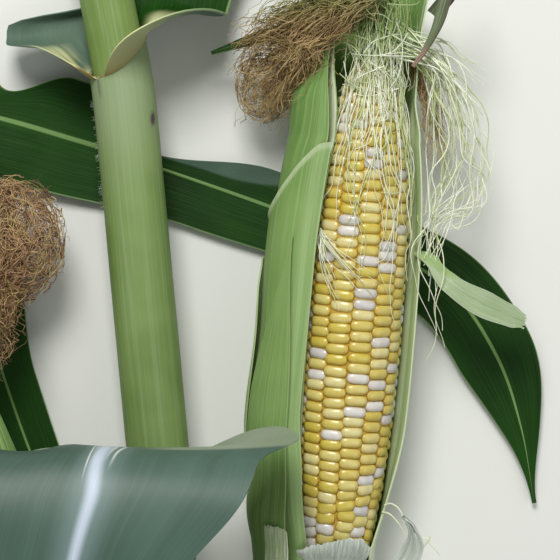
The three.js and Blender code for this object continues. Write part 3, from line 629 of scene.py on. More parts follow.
middleBlade = {
    "spine": [
        collarStart(middleCollar, 0.8), (-66, -93, 42), (-70, -76, 58), (-72, -68, 78), (-76, -76, 95),
        (-83, -103, 103), (-92, -144, 99), (-102, -192, 86), (-112, -240, 70), (-120, -286, 48),
        (-127, -330, 24), (-132, -374, 7.6), (-135, -418, 3.8), (-136, -460, 3.3),
    ],
    "normals": [
        towardsCulm(middleCollar), (0.3, 0.5, -0.5), (0.1, 1, -0.1), (0, 1, 0.3), (0, 0.6, 0.8),
        (0, 0.1, 1), (0, 0, 1), (0, -0.1, 1), (0, -0.3, 1), (0, -0.5, 1), (0, -0.5, 1), (0, -0.2, 1),
        (0, 0, 1), (0, 0, 1),
    ],
    "left": profile(
        (0, 22), (0.06, 30), (0.12, 80), (0.145, 66), (0.24, 46), (0.5, 47), (0.78, 29), (1, 1),
    ),
    "right": profile((0, 22), (0.07, 24), (0.13, 36), (0.2, 56), (0.5, 47), (0.78, 29), (1, 1)),
    "rolled": rolled, "open": (0.1, 0.12), "flat": 1 / 500,
    "ruffle": middleRuffle,
}
fold = (-168, 82)  # where the lower blade is folded over
foldHalf = 32
lowerBladeBase = {
    "spine": [
        collarStart(lowerCollar, 0.8), (-40, -236, 5.4), (-50, -216, 3.9), (-66, -184, lying),
        (-92, -126, lying), (-116, -66, lying), (-140, 6, lying), (*fold, lying),
    ],
    "normals": [towardsCulm(lowerCollar)] + skyward * 7,
    "left": profile((0, 20), (0.3, 24), (0.5, 13), (0.62, 14), (0.85, foldHalf), (1, foldHalf)),
    "right": profile((0, 20), (0.3, 24), (0.5, 13), (0.62, 14), (0.85, foldHalf), (1, foldHalf)),
    "rolled": rolled, "open": (0.14, 0.1), "flat": 1 / 400,
    "end": lambda t, u: 0.67 * foldHalf * u * smooth((t - 0.6) / 0.4),
}
lowerBladeTip = {
    "spine": [
        (*fold, 9.8), (-148, 78, 9.7), (-124, 72, 9.4), (-98, 64.5, 5.8), (-64, 54, lying), (-2, 32, lying),
        (44, 14, lying), (76, -4, lying), (97, -34, lying), (108, -66, lying), (114, -100, 3.2),
    ],
    "normals": skyward * 11,
    "left": profile(
        (0, foldHalf), (0.075, 12.5), (0.165, 26.5), (0.24, 26), (0.31, 5), (0.46, 16), (0.8, 18), (1, 1),
    ),
    "right": profile((0, foldHalf), (0.2, 26), (0.38, 21), (0.6, 18), (0.8, 18), (1, 1)),
    "rolled": 500, "open": (0.01, 0.01), "flat": 1 / 500,
    "end": lambda t, u: -0.63 * foldHalf * u * (1 - smooth(t / 0.35)),
}


def ribWeight(a, b):  # a blade is thick over its midrib and thin at its edges
    return mix(0.17, 1.0, bell(2 * b - 1, 0, 0.11)) * mix(1, 0.5, smooth((a - 0.6) / 0.4))


def wingBloom(a, b):  # the wing at the left shows its waxy side
    return smooth((0.075 - a ** gather) / 0.02) * smooth((0.46 - b) / 0.08)


def collarPale(a, b):  # the collar is pale in front of the stalk and at its notch
    t = a ** gather
    front = smooth((0.036 - t) / 0.014) * smooth((b - 0.6) / 0.12)
    notch = smooth((0.03 - t) / 0.012) * smooth((0.26 - b) / 0.12)
    return max(front, notch * clamp01(0.8 + wobble(b * 30, t * 120)))


def collarBurnt(a, b):
    t = a ** gather
    torn = smooth((0.024 - t) / 0.01) * smooth((0.2 - b) / 0.05) * smooth(wobble(b * 60, t * 130) * 2.5 - 0.2)
    torn = max(torn, 0.5 * smooth((0.024 - t) / 0.018) * smooth((b - 0.5) / 0.1))
    amber = 0.7 * smooth((0.016 - t) / 0.01) * smooth((b - 0.86) / 0.08)
    return max(torn, amber)


collarTones = {"bloom": wingBloom, "pale": collarPale, "burnt": collarBurnt}


def standingBand(a, b):  # the margin that stands up behind the crest shows its downy side
    return 0.9 * smooth((0.131 - a) / 0.005) * smooth((0.42 - b) / 0.12)


def turnedBand(a, b):  # the upper margin of the folded blade shows its waxy side past the stalk
    reach = 0.62 * bell(a, 0.42, 0.085)
    return 0.9 * smooth((1 - 2 * b - (1 - reach)) / 0.12) * smooth(reach / 0.1)


blades = {
    "blade_upper": (upperBlade, (190, 90), "darkBlade", ("blade_upper_base", "blade_upper_tip"), collarTones),
    "blade_middle": (middleBlade, (260, 80), "bluishBlade", ("blade_middle_base", "blade_middle_tip"),
                     {"bloom": standingBand}),
    "blade_lower_run": (lowerBladeBase, (120, 40), "darkBlade", ("blade_lower_base",), {}),
    "blade_lower_end": (lowerBladeTip, (180, 60), "darkBlade", ("blade_lower_tip",), {"bloom": turnedBand}),
}
for name, (shape, grid, finish, nodes, tones) in blades.items():
    gridPiece(name, bladeSurface(shape), grid, midribThick, (finish, "bladeUnderside"), "blade", nodes,
              rib=ribWeight, offset=-1.0, tones=tones)
print("blades ready")


# Fine white hairs down the left of the sheath
hairs = {"count": 170, "from": 326, "to": 448, "degrees": -91, "spread": 5, "long": 2.2,
         "thick": 0.04, "seed": 19}


def makeHairs():
    draw = random.Random(hairs["seed"])
    for i in range(hairs["count"]):
        distance = draw.uniform(hairs["from"], hairs["to"])
        degrees = draw.gauss(hairs["degrees"], hairs["spread"])
        length = draw.uniform(0.4, 1) * hairs["long"]
        drop = draw.gauss(-0.3, 0.3) * length
        points = [stalkAxis.point(distance + drop * t * t, degrees, 13.4 + length * t) for t in (0, 0.5, 1)]
        yield points, hairs["thick"], 0


# Ear
ear = {
    "base": (22.8, -115.2, 25.0), "tip": (39.6, 94.6, 37.5), "radius": 22.6, "rows": 14, "pitch": 4.55,
}
earAxis = Axis(ear["base"], ear["tip"])


def earRadius(distance):
    s = distance / earAxis.length
    if s < 0:
        return ear["radius"] * 0.74 + distance * 0.32
    if s < 0.45:
        return ear["radius"] * (1 - 0.26 * (1 - s / 0.45) ** 2.4)
    return ear["radius"] * math.sqrt(max(0.012, 1 - (min(s, 1) - 0.45) ** 2.6 / 0.56 ** 2.6))


kernelShape = {
    "across": (-1, -0.86, -0.5, 0.5, 0.86, 1), "along": (-1, -0.76, -0.28, 0.28, 0.76, 1),
    "tall": 1.9, "rows": (-3, 4), "firstEdge": -1.5, "fill": 1.09, "crown": 0.62,
    "side": 0.38, "seed": 5,
}


def makeKernelPattern():  # one kernel, 1 wide and 1 long, with its crown at height 0
    clearChoice()
    across, along = kernelShape["across"], kernelShape["along"]
    bpy.ops.mesh.primitive_grid_add(x_subdivisions=len(across) - 1, y_subdivisions=len(along) - 1, size=2)
    seed = bpy.context.object
    for vertex in seed.data.vertices:
        s = across[round((vertex.co.x + 1) / 2 * (len(across) - 1))]
        t = along[round((vertex.co.y + 1) / 2 * (len(along) - 1))]
        drop = 1 - ((1 - abs(s) ** 3.0) * (1 - abs(t) ** 2.0)) ** 0.5
        vertex.co.x = 0.5 * s * (1 - 0.16 * t * t)
        vertex.co.y = 0.5 * t * (1 - 0.26 * s * s)
        vertex.co.z = -drop * kernelShape["crown"]
    bpy.ops.object.mode_set(mode="EDIT")
    bpy.ops.mesh.select_all(action="DESELECT")
    bpy.ops.mesh.select_mode(type="EDGE")
    bpy.ops.mesh.select_non_manifold()
    bpy.ops.mesh.extrude_region_move(TRANSFORM_OT_translate={"value": (0, 0, -kernelShape["side"])})
    bpy.ops.transform.resize(value=(0.9, 0.86, 1), center_override=(0, 0, -1))
    bpy.ops.object.mode_set(mode="OBJECT")
    points = [v.co.copy() for v in seed.data.vertices]
    faces = [tuple(p.vertices) for p in seed.data.polygons]
    bpy.data.objects.remove(seed)
    return points, faces


# each pair is a crown colour and a deeper side colour; the side colour is partly the kernel's own deeper
# yellow and partly painted shade in the grooves and on each kernel's lower part
kernelColours = {
    "yellow": [(0xDCD48A, 0xC5A538), (0xD6CA70, 0xC09E32), (0xE2DCA6, 0xC8AE4C), (0xD2C55C, 0xBE9C2A)],
    "white": [(0xDCDBDB, 0xC6BCA4), (0xD3D2D3, 0xBFB5A0), (0xE3E1DF, 0xCAC0A8)],
}


def makeKernels():
    pattern, patternFaces = makeKernelPattern()
    draw = random.Random(kernelShape["seed"])
    points, faces, tints = [], [], []
    rowAngle = 360 / ear["rows"]
    count = int((earAxis.length - 2) / ear["pitch"])
    for row in range(*kernelShape["rows"]):
        shiftRow = 0.5 * (row & 1) + 0.15 * draw.random()
        for k in range(-1, count + 1):
            distance = (k + 0.5 + shiftRow) * ear["pitch"]
            if distance < 1.5 or distance > earAxis.length - 3:
                continue
            untidy = smooth((46 - distance) / 40) + 0.7 * smooth((distance - 185) / 20)
            sway = 1.6 * wobble(distance * 0.03, row * 3.1)
            degrees = (row + 0.5) * rowAngle + kernelShape["firstEdge"] + sway
            degrees += untidy * draw.uniform(-2.2, 2.2)
            radius = earRadius(distance)
            fill = kernelShape["fill"]
            wide = radius * math.radians(rowAngle) * mix(fill, 1.12, untidy) * draw.uniform(0.98, 1.02)
            long = ear["pitch"] * mix(fill, 1.34, untidy * (distance < 60)) * draw.uniform(0.98, 1.03)
            distance += ear["pitch"] * 0.07 * draw.uniform(-1, 1)
            height = draw.uniform(-0.22, 0.22) + 0.1
            turn = math.radians(draw.uniform(-3, 3) * (1 + 4 * untidy))
            patch = wobble(row * 0.9 + 7, distance * 0.05) + 0.7 * wobble(row * 2.9, distance * 0.27 + 3)
            family = "white" if patch + draw.uniform(-0.7, 0.7) > 0.55 else "yellow"
            crown, side = [colour(code) for code in draw.choice(kernelColours[family])]
            young = smooth((distance - 176) / 26)
            start = len(points)
            for p in pattern:
                x = p.x * math.cos(turn) - p.y * math.sin(turn) * long / wide
                y = p.y * math.cos(turn) + p.x * math.sin(turn) * wide / long
                # deeper into the grooves, partly the kernel's own colour and partly painted shade, and deeper
                # on the lower part that faces away from the key lamp, which is painted shade
                deep = clamp01(-p.z * 1.5 + 0.4 * (0.35 - p.y))
                here = earAxis.point(
                    distance + y * long, degrees + math.degrees(x * wide / radius),
                    radius + height + p.z * kernelShape["tall"],
                )
                points.append(place(here))
                tint = [mix(c, d, deep) for c, d in zip(crown, side)]
                tints.append([mix(c, d, 0.65 * young) for c, d in zip(tint, colour(0xE9E3B4))])
            faces += [tuple(start + i for i in face) for face in patternFaces]
    mesh = bpy.data.meshes.new("kernels")
    mesh.from_pydata(points, [], faces)
    layer = mesh.color_attributes.new("tint", "FLOAT_COLOR", "POINT")
    for i, tint in enumerate(tints):
        layer.data[i].color = tint
    piece = setOut("kernels", mesh)
    chooseOnly(piece)
    faceOut(fill=True)
    bpy.ops.object.shade_smooth()
    return piece


juicy = glow(0.3, (0.004, 0.0025, 0.001))


def kernelLook():
    look = Look("kernel")
    cloud = look.grain(look.here(), 420, 2.0, 0.5)
    warmth = cloud.band(0.35, 0.75) * 0.14
    return look.finish({
        "Base Color": look.blend(warmth, look.shade("tint"), colour(0xE0B040), "MULTIPLY"),
        "Roughness": cloud.between(0.26, 0.36),
        "Normal": look.bump(look.grain(look.here(), 700, 2.0, 0.5), 0.05, 0.0003),
        **juicy,
        "Specular IOR Level": 0.55,
        "Coat Weight": 0.35,
        "Coat Roughness": 0.2,
    })


def cobLook():
    look = Look("cob")
    shade = look.blend(look.grain(look.here(), 300), colour(0xB8902C), colour(0xCCA844))
    return look.finish({"Base Color": shade, "Roughness": 0.5, **juicy})


kernels = makeKernels()
kernels.data.materials.append(kernelLook())
settle(kernels, "kernel", "ear_kernels")
looks["cob"] = cobLook()
gridPiece("cob", roundSurface(earAxis, lambda distance: max(1.0, earRadius(distance) - 1.25)), (80, 48), 0.6,
          ["cob"], "kernel", offset=-1.0)
print("kernels ready")


# Husk
huskWall, huskGap = 1.4, 0.95  # of the husk leaves of the solids
sheet = 0.7  # thickness of a husk leaf here
bulgeHeight = profile((-12, 1), (20, 9), (50, 12), (92, 9.5), (132, 10.5), (165, 11), (190, 11), (214, 2))
funnel = profile((150, 16.8), (190, 18.2), (215, 18), (252, 21))


def huskRadius(distance, degrees, k):  # the middle of husk layer k, which bulges at the left
    inside = max(earRadius(min(distance, earAxis.length)), funnel(distance))
    layer = 0.9 + huskWall / 2 + k * (huskWall + huskGap)
    bulge = bulgeHeight(distance) if k > 0 else 0
    if k > 2:  # the outer leaves stand further away near the butt
        bulge += 7 * (1 - smooth((distance + 8) / 40))
    return inside + layer + bulge * bell(degrees, -92, 40)


def rimShare(distance):
    return smooth((distance + 4) / 60) * smooth((196 - distance) / 20)


def rimGroove(b):
    return bell(b, 0.968, 0.012)


def huskLeaf(pick):
    def surface(a, b):
        guess = mix(pick["from"], pick["to"], a)
        degrees = mix(pick["left"](guess), pick["right"](guess), b)
        end = pick["top"](degrees) if "top" in pick else pick["to"]
        distance = mix(pick["from"], end, a)
        ripple = 0.12 * wobble(degrees * 0.12, distance * 0.01, pick["layer"])
        if "tuck" in pick:  # the edge beside the kernels turns down on them
            ripple -= pick["tuck"] * smooth((b - 0.93) / 0.07) * smooth((200 - distance) / 20)
        if "lip" in pick:
            ripple += pick["lip"] * smooth((a - 0.985) / 0.015)
        if "rim" in pick:  # the far edge hugs the kernels and then turns out, with a groove along it
            turned = pick["rim"] * smooth((b - 0.9) / 0.1) - 0.5 * rimGroove(b)
            ripple += rimShare(distance) * (turned - 1.1 * smooth((b - 0.78) / 0.1))
        return earAxis.point(distance, degrees, huskRadius(distance, degrees, pick["layer"]) + ripple)
    return surface


def edge(*pairs, turned=0, sign=-1):
    return lambda d: turned + sign * through(pairs, d)


huskLeaves = {
    "husk_back": {
        "layer": 0, "from": -9, "to": 246, "grid": (150, 110), "rim": 4.9,
        "left": edge((-9, 50), (120, 50), (185, 44), (215, 60), (246, 110)),
        "right": edge((-9, 60), (25, 72), (60, 80), (170, 82), (205, 86), (246, 92), turned=-360, sign=1),
    },
    "husk_tall": {
        "layer": 1, "from": -8, "to": 214, "grid": (150, 60), "tuck": 2.0,
        "left": edge((-8, 118), (100, 121), (165, 118), (190, 104), (214, 66)),
        "right": edge((-8, 52), (100, 50), (190, 46), (214, 56)),
    },
    "husk_front": {
        "layer": 2, "from": -7, "to": 172, "grid": (180, 50), "lip": 0.7, "tuck": 3.6,
        "left": lambda d: -112,
        "right": edge((-7, 34), (30, 40), (60, 44), (120, 42), (172, 40)),
        "top": lambda degrees: 174 - 34 * smooth((-degrees - 38) / 60),
    },
    "husk_point": {
        "layer": 3, "from": -14, "to": 134, "grid": (90, 24),
        "left": edge((-14, 92), (60, 80), (134, 56)),
        "right": edge((-14, 46), (60, 46), (134, 54)),
    },
    "husk_side": {
        "layer": 3, "from": -14, "to": 122, "grid": (90, 24),
        "left": lambda d: -114,
        "right": edge((-14, 96), (60, 84.5), (100, 88), (122, 100)),
    },
}
huskTones = {
    "husk_front": {
        "pale": lambda a, b: max(0.6 * smooth((a - 0.978) / 0.014), 0.12 * smooth((b - 0.8) / 0.1)),
    },
    # the rim is painted pale; along its groove it stays less pale, a painted shade in the groove
    "husk_back": {"pale": lambda a, b: smooth((b - 0.9) / 0.03) * (0.8 - 0.6 * rimGroove(b))},
}
for name, pick in huskLeaves.items():
    gridPiece(name + "_leaf", huskLeaf(pick), pick["grid"], sheet, ("husk", "innerHusk"), "husk", [name],
              tones=huskTones.get(name))
print("husk ready")


# Shanks: short jointed stems from the stalk to the butts of the ears
closedEar = {"base": (-96, -262, 30.5), "tip": (-129, -46, 39), "radius": 24.5}
closedAxis = Axis(closedEar["base"], closedEar["tip"])
shanks = {
    "ear_shank": {
        "points": [(-36, -228, 22), (-14, -217, 22.5), (7, -184, 23.2), (18.5, -148, 24),
                   earAxis.point(-12, 0, 0), earAxis.point(-0.35, 0, 0)],
        "radius": 7.6, "butt": 13.2,
    },
    "second_shank": {
        "points": [(-32, -348, 20.5), (-56, -338, 20.5), (-78, -318, 22.5), (-90, -290, 27),
                   closedAxis.point(-12, 0, 0), closedAxis.point(-0.35, 0, 0)],
        "radius": 7.2, "butt": 12.0,
    },
}


def shankSurface(pick):
    path = Route(pick["points"])

    @cache
    def frameAt(t):
        tangent = path.heading(t)
        side = (upward - tangent * tangent.z).normalized()
        return path(t), side, side.cross(tangent)

    def radius(t, degrees):
        ring = 0.9 * max(0, math.sin(t * 21) - 0.75) * 4 * (1 - t)
        ridge = 0.12 * math.sin(math.radians(degrees * 11)) * (1 - ring)
        return mix(pick["radius"] + ring + ridge, pick["butt"] - 0.2, smooth((t - 0.78) / 0.13))

    def surface(a, b):
        centre, side, other = frameAt(round(a, 5))
        turn = 2 * math.pi * b
        return centre + (side * math.cos(turn) + other * math.sin(turn)) * radius(a, 360 * b)
    return surface


for name, pick in shanks.items():
    gridPiece(name + "_stem", shankSurface(pick), (110, 40), 0.8, ["sheath"], "culm", [name], offset=-1.0)
print("shanks ready")


# Strips of husk: a torn flap, a torn strip at the right and the tips of two husk leaves
strips = {
    "husk_flap": {
        "spine": [earAxis.point(130, 86.5, earRadius(130) + 3.8), (64.5, 8.5, 38), (70.5, 0.5, 39),
                  (79, -6, 38), (92, -12.5, 34.5), (106, -18, 29)],
        "normals": [(0.9, 0.1, 0.7), (0.3, 0.2, 1), (0.2, 0.2, 1), (0.1, 0.1, 1), (0.3, 0.1, 1),
                    (0.4, 0.1, 1)],
        "half": profile((0, 2.6), (0.15, 2.9), (0.36, 4.6), (0.65, 6), (0.88, 5), (1, 3)), "flat": 1 / 60,
        "grid": (120, 48), "look": ("flap", "innerHusk"),
        "ruffle": lambda t, u: 0.9 * smooth((t - 0.3) / 0.06) * smooth((u + 1.3 - 2.2 * t) / 0.1),
        "end": lambda t, u: (1.4 * wobble(u * 3.1, 2) + 0.6 * wobble(u * 11, 5)) * smooth((t - 0.85) / 0.15),
        "tones": {"pale": lambda a, b: 0.8 * smooth((0.3 - a + 0.3 * (0.5 - b)) / 0.12)},
    },
    "husk_stub_3": {
        "spine": [(35.4, -130, 24.2), (44, -129.5, 28), (52.5, -124, 33), (57, -115, 36), (56.5, -107, 38),
                  (52.5, -101, 38.5)],
        "normals": [(-0.5, 0, 1), (-0.4, 0.1, 1), (-0.2, 0, 1), (-0.1, -0.1, 1), (0, -0.2, 1), (0, -0.2, 1)],
        "half": profile((0, 2.2), (0.2, 2.6), (0.48, 5.2), (0.66, 4.8), (0.85, 1.7), (1, 0.4)),
        "flat": 1 / 60, "grid": (120, 60), "look": ("tornHusk", "tornHusk"),
        "ruffle": lambda t, u: 0.6 * math.sin(8 * u + 1) * smooth(t * 2),
        "end": lambda t, u: (3.4 * wobble(u * 5, 3) * smooth((t - 0.5) / 0.2) * smooth((u + 0.2) / 0.5)
                             * smooth((1 - t) * 6)),
    },
    "husk_tip_left": {
        "spine": [(20, 107, 26), (8, 108.5, 26), (-8, 106, 25), (-30, 99, 24)],
        "normals": [(0, 0.4, 1), (0, 0.4, 1), (0, 0.5, 1), (0, 0.6, 1)],
        "half": lambda t: mix(5, 0.8, t ** 1.5), "flat": 1 / 60, "grid": (60, 16),
        "look": ("darkBlade", "bladeUnderside"),
    },
    "husk_tip_right": {
        "spine": [(66.6, 113, 37), (75, 124, 44), (78, 138, 50), (74, 131, 56), (69.4, 117, 57),
                  (66.2, 107, 57), (61, 96.8, 56), (55.8, 89.5, 54.5)],
        "normals": [(-1, 0, 1), (-1, 0, 1), (-1, -0.4, 0.6), (-0.4, 0.4, 1), (-0.6, 0.3, 1), (-0.5, 0.3, 1),
                    (-0.5, 0.3, 1), (-0.5, 0.3, 1)],
        "half": profile((0, 4.4), (0.6, 3.4), (1, 0.9)), "flat": 1 / 4, "grid": (120, 22),
        "look": ("darkTip", "darkTip"), "tones": {"burnt": lambda a, b: 0.9 * smooth((a - 0.86) / 0.08)},
    },
}
for name, pick in strips.items():
    shape = {**pick, "left": pick["half"], "right": pick["half"], "skin": 0.35, "rolled": 1 / pick["flat"],
             "open": (0.01, 0.01)}
    gridPiece(name + "_strip", bladeSurface(shape), pick["grid"], sheet, pick["look"], "torn_husk", [name],
              offset=-1.0, tones=pick.get("tones"))


# Torn stubs of the husk leaves that were pulled off the front
stubs = {
    "husk_stub_1": {"degrees": -51, "width": 22, "from": -13, "tips": (9, 9.6, 9.4, 9.8, 9.2, 8.6),
                    "layer": 3.93, "grid": (40, 60), "look": ("innerHusk", "innerHusk")},
    "husk_stub_2": {"degrees": 3, "width": 94, "from": -10.5, "tips": (0.5, 3.4, 5.4, 7.4, 7.6, 3.5),
                    "lean": 4.5, "grid": (50, 150), "look": ("tornHusk", "tornHusk")},
}


def stubSurface(pick, seed):
    tips = pick["tips"]

    def surface(a, b):
        turn = pick["degrees"] + (b - 0.5) * pick["width"] * mix(1, 0.86, a)
        i = min(int(b * 5), 4)
        tip = mix(tips[i], tips[i + 1], smooth(b * 5 - i))
        torn = 0.6 * wobble(b * 19, seed) + 0.45 * wobble(b * 70, seed + 4)
        distance = mix(pick["from"], tip + torn, a)
        fibres = (0.4 * wobble(b * 24, seed, a) + 0.22 * wobble(b * 66, seed)) * smooth(a * 3)
        if "layer" in pick:
            return earAxis.point(distance, turn, huskRadius(distance, turn, pick["layer"]) + 0.4 * fibres)
        fold = 2.2 * bell(b, 0.72 + 0.12 * (1 - a), 0.05) * smooth(a * 1.5)  # a ridge in its right part
        over = 3.4 * smooth((-turn - 20) / 12)  # its left end lies on the front husk leaf
        radius = max(earRadius(distance), 13.4) + 0.9 + (pick["lean"] + over) * smooth(a) ** 1.4
        return earAxis.point(distance, turn, radius + fibres + fold)
    return surface


for i, (name, pick) in enumerate(stubs.items()):
    gridPiece(name + "_torn", stubSurface(pick, i * 3), pick["grid"], sheet, pick["look"], "torn_husk",
              [name])
print("torn husk ready")


# Silk: each strand is a thin tube, and all strands of a kind are one piece
def strandLook(name, body, other, root, rootFrom, rootTo):  # the root's colour comes in along the plant
    look = Look(name)
    along = look.split(look.here())[1]
    grain = look.grain(look.here(), 260, 2.0, 0.5)
    shade = look.blend(grain.band(0.35, 0.7), colour(body), colour(other))
    rootShare = along.band(rootFrom * mm + shift.y, rootTo * mm + shift.y)
    return look.finish({
        "Base Color": look.blend(rootShare, shade, colour(root)),
        "Roughness": grain.between(0.38, 0.5),
        **glow(0.2, (0.001, 0.001, 0.0005), 0.05),
    })


silkFinishes = {  # two colours, the root's colour, and the places where that begins and is full
    "hair": (0xE4EADF, 0xD2DACB, 0xD2DACB, 400, 420),
    "paleSilk": (0xF3F5E6, 0xE6EBCF, 0xB9C892, 88, 116),
    "creamSilk": (0xEAEDCF, 0xDAE1B2, 0xA3B876, 82, 110),
    "greenSilk": (0xD0DBA6, 0xB9C884, 0x86A058, 76, 106),
    "brownSilk": (0xBDA275, 0xA0855A, 0x94965A, 104, 122),
    "darkSilk": (0x8F7848, 0x745D36, 0x6D703A, 104, 122),
    "rustSilk": (0xB8946E, 0x9A7656, 0x8A7A50, 104, 122),
    "darkRustSilk": (0x7E5E3E, 0x644A30, 0x6D603A, 104, 122),
    "sandSilk": (0xC9B076, 0xAA9258, 0xA9A86C, 104, 122),
}
for name, pick in silkFinishes.items():
    looks[name] = strandLook(name, *pick)


def strandPiece(name, strands, finishes, slotName, *nodes):  # a strand is points, a radius and a finish
    curve = bpy.data.curves.new(name, "CURVE")
    curve.dimensions = "3D"
    curve.bevel_depth = mm  # so that a point's radius is in millimetres
    curve.bevel_resolution = 0
    for finish in finishes:
        curve.materials.append(looks[finish])
    for points, radius, finish in strands:
        spline = curve.splines.new("POLY")
        spline.points.add(len(points) - 1)
        spline.material_index = finish
        for i, point in enumerate(points):
            spline.points[i].co = (*place(point), 1)
            spline.points[i].radius = radius * mix(1, 0.45, (i / (len(points) - 1)) ** 2)
    chooseOnly(setOut(name, curve))
    bpy.ops.object.convert(target="MESH")
    bpy.ops.object.shade_smooth()
    settle(bpy.context.object, slotName, *nodes)


def sampled(points, step):
    path = Route(points)
    count = max(4, round(path.length / step))
    return [path(i / count) for i in range(count + 1)]


silkShape = {
    "front": 66, "mop": 90, "tangle": 44, "side": 50, "stray": 14, "dry": 70, "thin": 0.17, "thick": 0.34,
    "frontSeed": 7, "sideSeed": 23, "curlStep": 2.0, "lowest": 1.2,
}
tuft = {  # a lock that runs down beside the husk and fans out over the kernels, as distance and degrees
    "stem": [(205, -20), (180, -48), (165, -52), (154, -56), (143, -63), (133, -52), (137, -45)],
    "tips": [(123, -12), (113, -5), (115, 4), (119, 24), (117, -28), (128, -22), (108, -20), (121, 12)],
}


def scatter(draw, size):
    return Vector([draw.gauss(0, size) for _ in range(3)])

def scattered(draw, points, size):
    return [Vector(p) + scatter(draw, size) for p in points]


def wavy(draw, points, step, size):  # a route with smooth waves of its own
    away = Vector([draw.uniform(-50, 50) for _ in range(3)])
    line = sampled(points, step)
    last = len(line) - 1
    waves = [noise.noise_vector(p * 0.055 + away) for p in line]
    return [p + wave * (size * smooth(3 * i / last)) for i, (p, wave) in enumerate(zip(line, waves))]


mouth = 196  # distance at which the kernels end and the silk comes out
def overKernels(distance, degrees, lift):
    return earAxis.point(distance, degrees, earRadius(min(distance, mouth)) + lift)


frontReach = profile((0, 128), (0.3, 96), (0.6, 100), (0.8, 92), (1, 64))


def makeFrontSilk(draw):
    for i in range(silkShape["front"]):
        share = clamp01(draw.gauss(0.42, 0.32)) if i % 3 else draw.random()
        degrees = mix(-50, 84, share)
        reach = mix(frontReach(share), 198, draw.random() ** 0.6)
        lift, turn = draw.uniform(0.4, 2.2), mix(degrees, draw.uniform(-70, 80), 0.5)
        spread = draw.uniform(8, 16)
        points = [earAxis.point(draw.uniform(224, 240), turn, spread * 0.8),
                  earAxis.point(212, mix(turn, degrees, 0.5), spread)]
        distance, drift, swing = 202, 0, draw.gauss(0, 1.5)
        while distance > reach:
            swing = 0.7 * swing + draw.gauss(0, 3.6)
            drift += swing
            points.append(overKernels(distance, degrees + drift, max(0.35, lift + draw.gauss(0, 0.8))))
            distance -= draw.uniform(5, 11)
        points.append(overKernels(reach, degrees + drift + draw.gauss(0, 12), lift))
        size = draw.uniform(silkShape["thin"], silkShape["thick"])
        yield sampled(points, 2.0), size, draw.choice((0, 0, 0, 1, 1, 2))
    for i in range(silkShape["mop"]):  # short silk that fills the mouth of the husk
        degrees, spread = draw.uniform(-48, 72), draw.uniform(5, 16.5)
        low = draw.uniform(201, 216)
        points = [
            earAxis.point(low, degrees, max(4, spread - 3)),
            earAxis.point(low + 12, degrees + draw.gauss(0, 8), spread),
            earAxis.point(low + 24, degrees + draw.gauss(0, 12), spread * draw.uniform(0.8, 1.0)),
            earAxis.point(low + draw.uniform(34, 42), degrees + draw.gauss(0, 20),
                          spread * draw.uniform(0.5, 1.0)),
        ]
        yield sampled(points, 1.8), draw.uniform(0.16, 0.3), draw.choice((0, 1, 1, 2, 2))
    for i in range(silkShape["tangle"]):  # loose strands that cross over the mouth of the husk
        d, turn, heading = draw.uniform(196, 236), draw.uniform(-60, 75), draw.gauss(2.5, 0.8)
        bend, rise, points = draw.gauss(0, 0.25), draw.uniform(14, 19), []
        for k in range(draw.choice((4, 5, 6, 7))):
            radius = max(earRadius(min(d, 200)) + 1.6, rise * smooth((d - 186) / 16))
            points.append(earAxis.point(d, turn, radius))
            d = min(238, max(180, d + 6 * math.cos(heading)))
            turn = min(88, max(-66, turn + math.degrees(6 * math.sin(heading) / rise)))
            heading += bend + draw.gauss(0, 0.12)
        yield sampled(points, 1.5), draw.uniform(0.18, 0.32), draw.choice((0, 0, 1, 1, 2))
    stem = [overKernels(d, turn, 1.0) for d, turn in tuft["stem"]]
    for i in range(4):
        yield sampled(scattered(draw, stem, 0.4), 1.6), 0.24, 0
    for i in range(17):
        d, turn = draw.choice(tuft["tips"])
        d, turn = d + draw.gauss(0, 3), turn + draw.gauss(0, 4)
        points = [overKernels(137, -46, 1.2), overKernels(mix(137, d, 0.45), mix(-46, turn, 0.35), 2.4),
                  overKernels(d, turn, draw.uniform(0.4, 1.2))]
        yield wavy(draw, scattered(draw, points, 0.3), 1.2, 2.4), 0.21, draw.choice((0, 0, 1))


def makeSideSilk(draw):
    for i in range(silkShape["side"]):
        far = draw.random() ** 0.9
        wide, low = mix(3, 27, far), draw.uniform(-10, 8)
        lift = draw.uniform(-7, 5)
        points = [
            earAxis.point(draw.uniform(212, 228), draw.uniform(5, 70), draw.uniform(5, 14)),
            (60 + wide * 0.35, 96 - 6 * far, 46 + lift),
            (60 + wide * 0.85, 76 - 10 * far + low, 42 + lift),
            (62 + wide, 56 - 4 * far + low, 38 + lift),
            (62 + wide * 0.8, 40 - 6 * far + low, 37 + lift * 0.5),
            (63 + wide * 0.25, 27 + 0.5 * low, 38 + lift * 0.3),
        ]
        kind = draw.random()
        if kind < 0.3:  # some end early
            points = points[:draw.choice((3, 4, 4))]
        elif kind > 0.62:  # and some hang on down
            points.append((63 + draw.uniform(-4, 5), draw.uniform(-6, 14), 38 + draw.uniform(-3, 2)))
            if kind > 0.93:
                points.append((68 + draw.uniform(-4, 8), draw.uniform(-40, -20), 34))
        points = scattered(draw, points, 2.2)
        size = draw.uniform(silkShape["thin"] + 0.04, silkShape["thick"] + 0.06)
        yield wavy(draw, points, 1.8, 4.5), size, draw.choice((0, 0, 0, 0, 1, 2))
    for i in range(silkShape["stray"]):  # loose ends that point away to the right
        high = draw.uniform(84, 104)
        points = [earAxis.point(draw.uniform(214, 226), 60, 12), (68, high, 47), (78, high - 8, 46),
                  (78 + draw.uniform(4, 16), high - draw.uniform(8, 20), 44)]
        yield wavy(draw, points, 1.8, 3), 0.24, draw.choice((0, 0, 1))
    for i in range(silkShape["dry"]):  # dry strands behind the pale ones
        points = [(56, 98, 33), (62, 86, 32), (66, 74, 31),
                  (68 + draw.uniform(-5, 5), draw.uniform(50, 66), 31)]
        path = Route(scattered(draw, points, 2.4))
        yield curled(draw, path, 1.0, 8), draw.uniform(0.13, 0.22), draw.choice((3, 4))


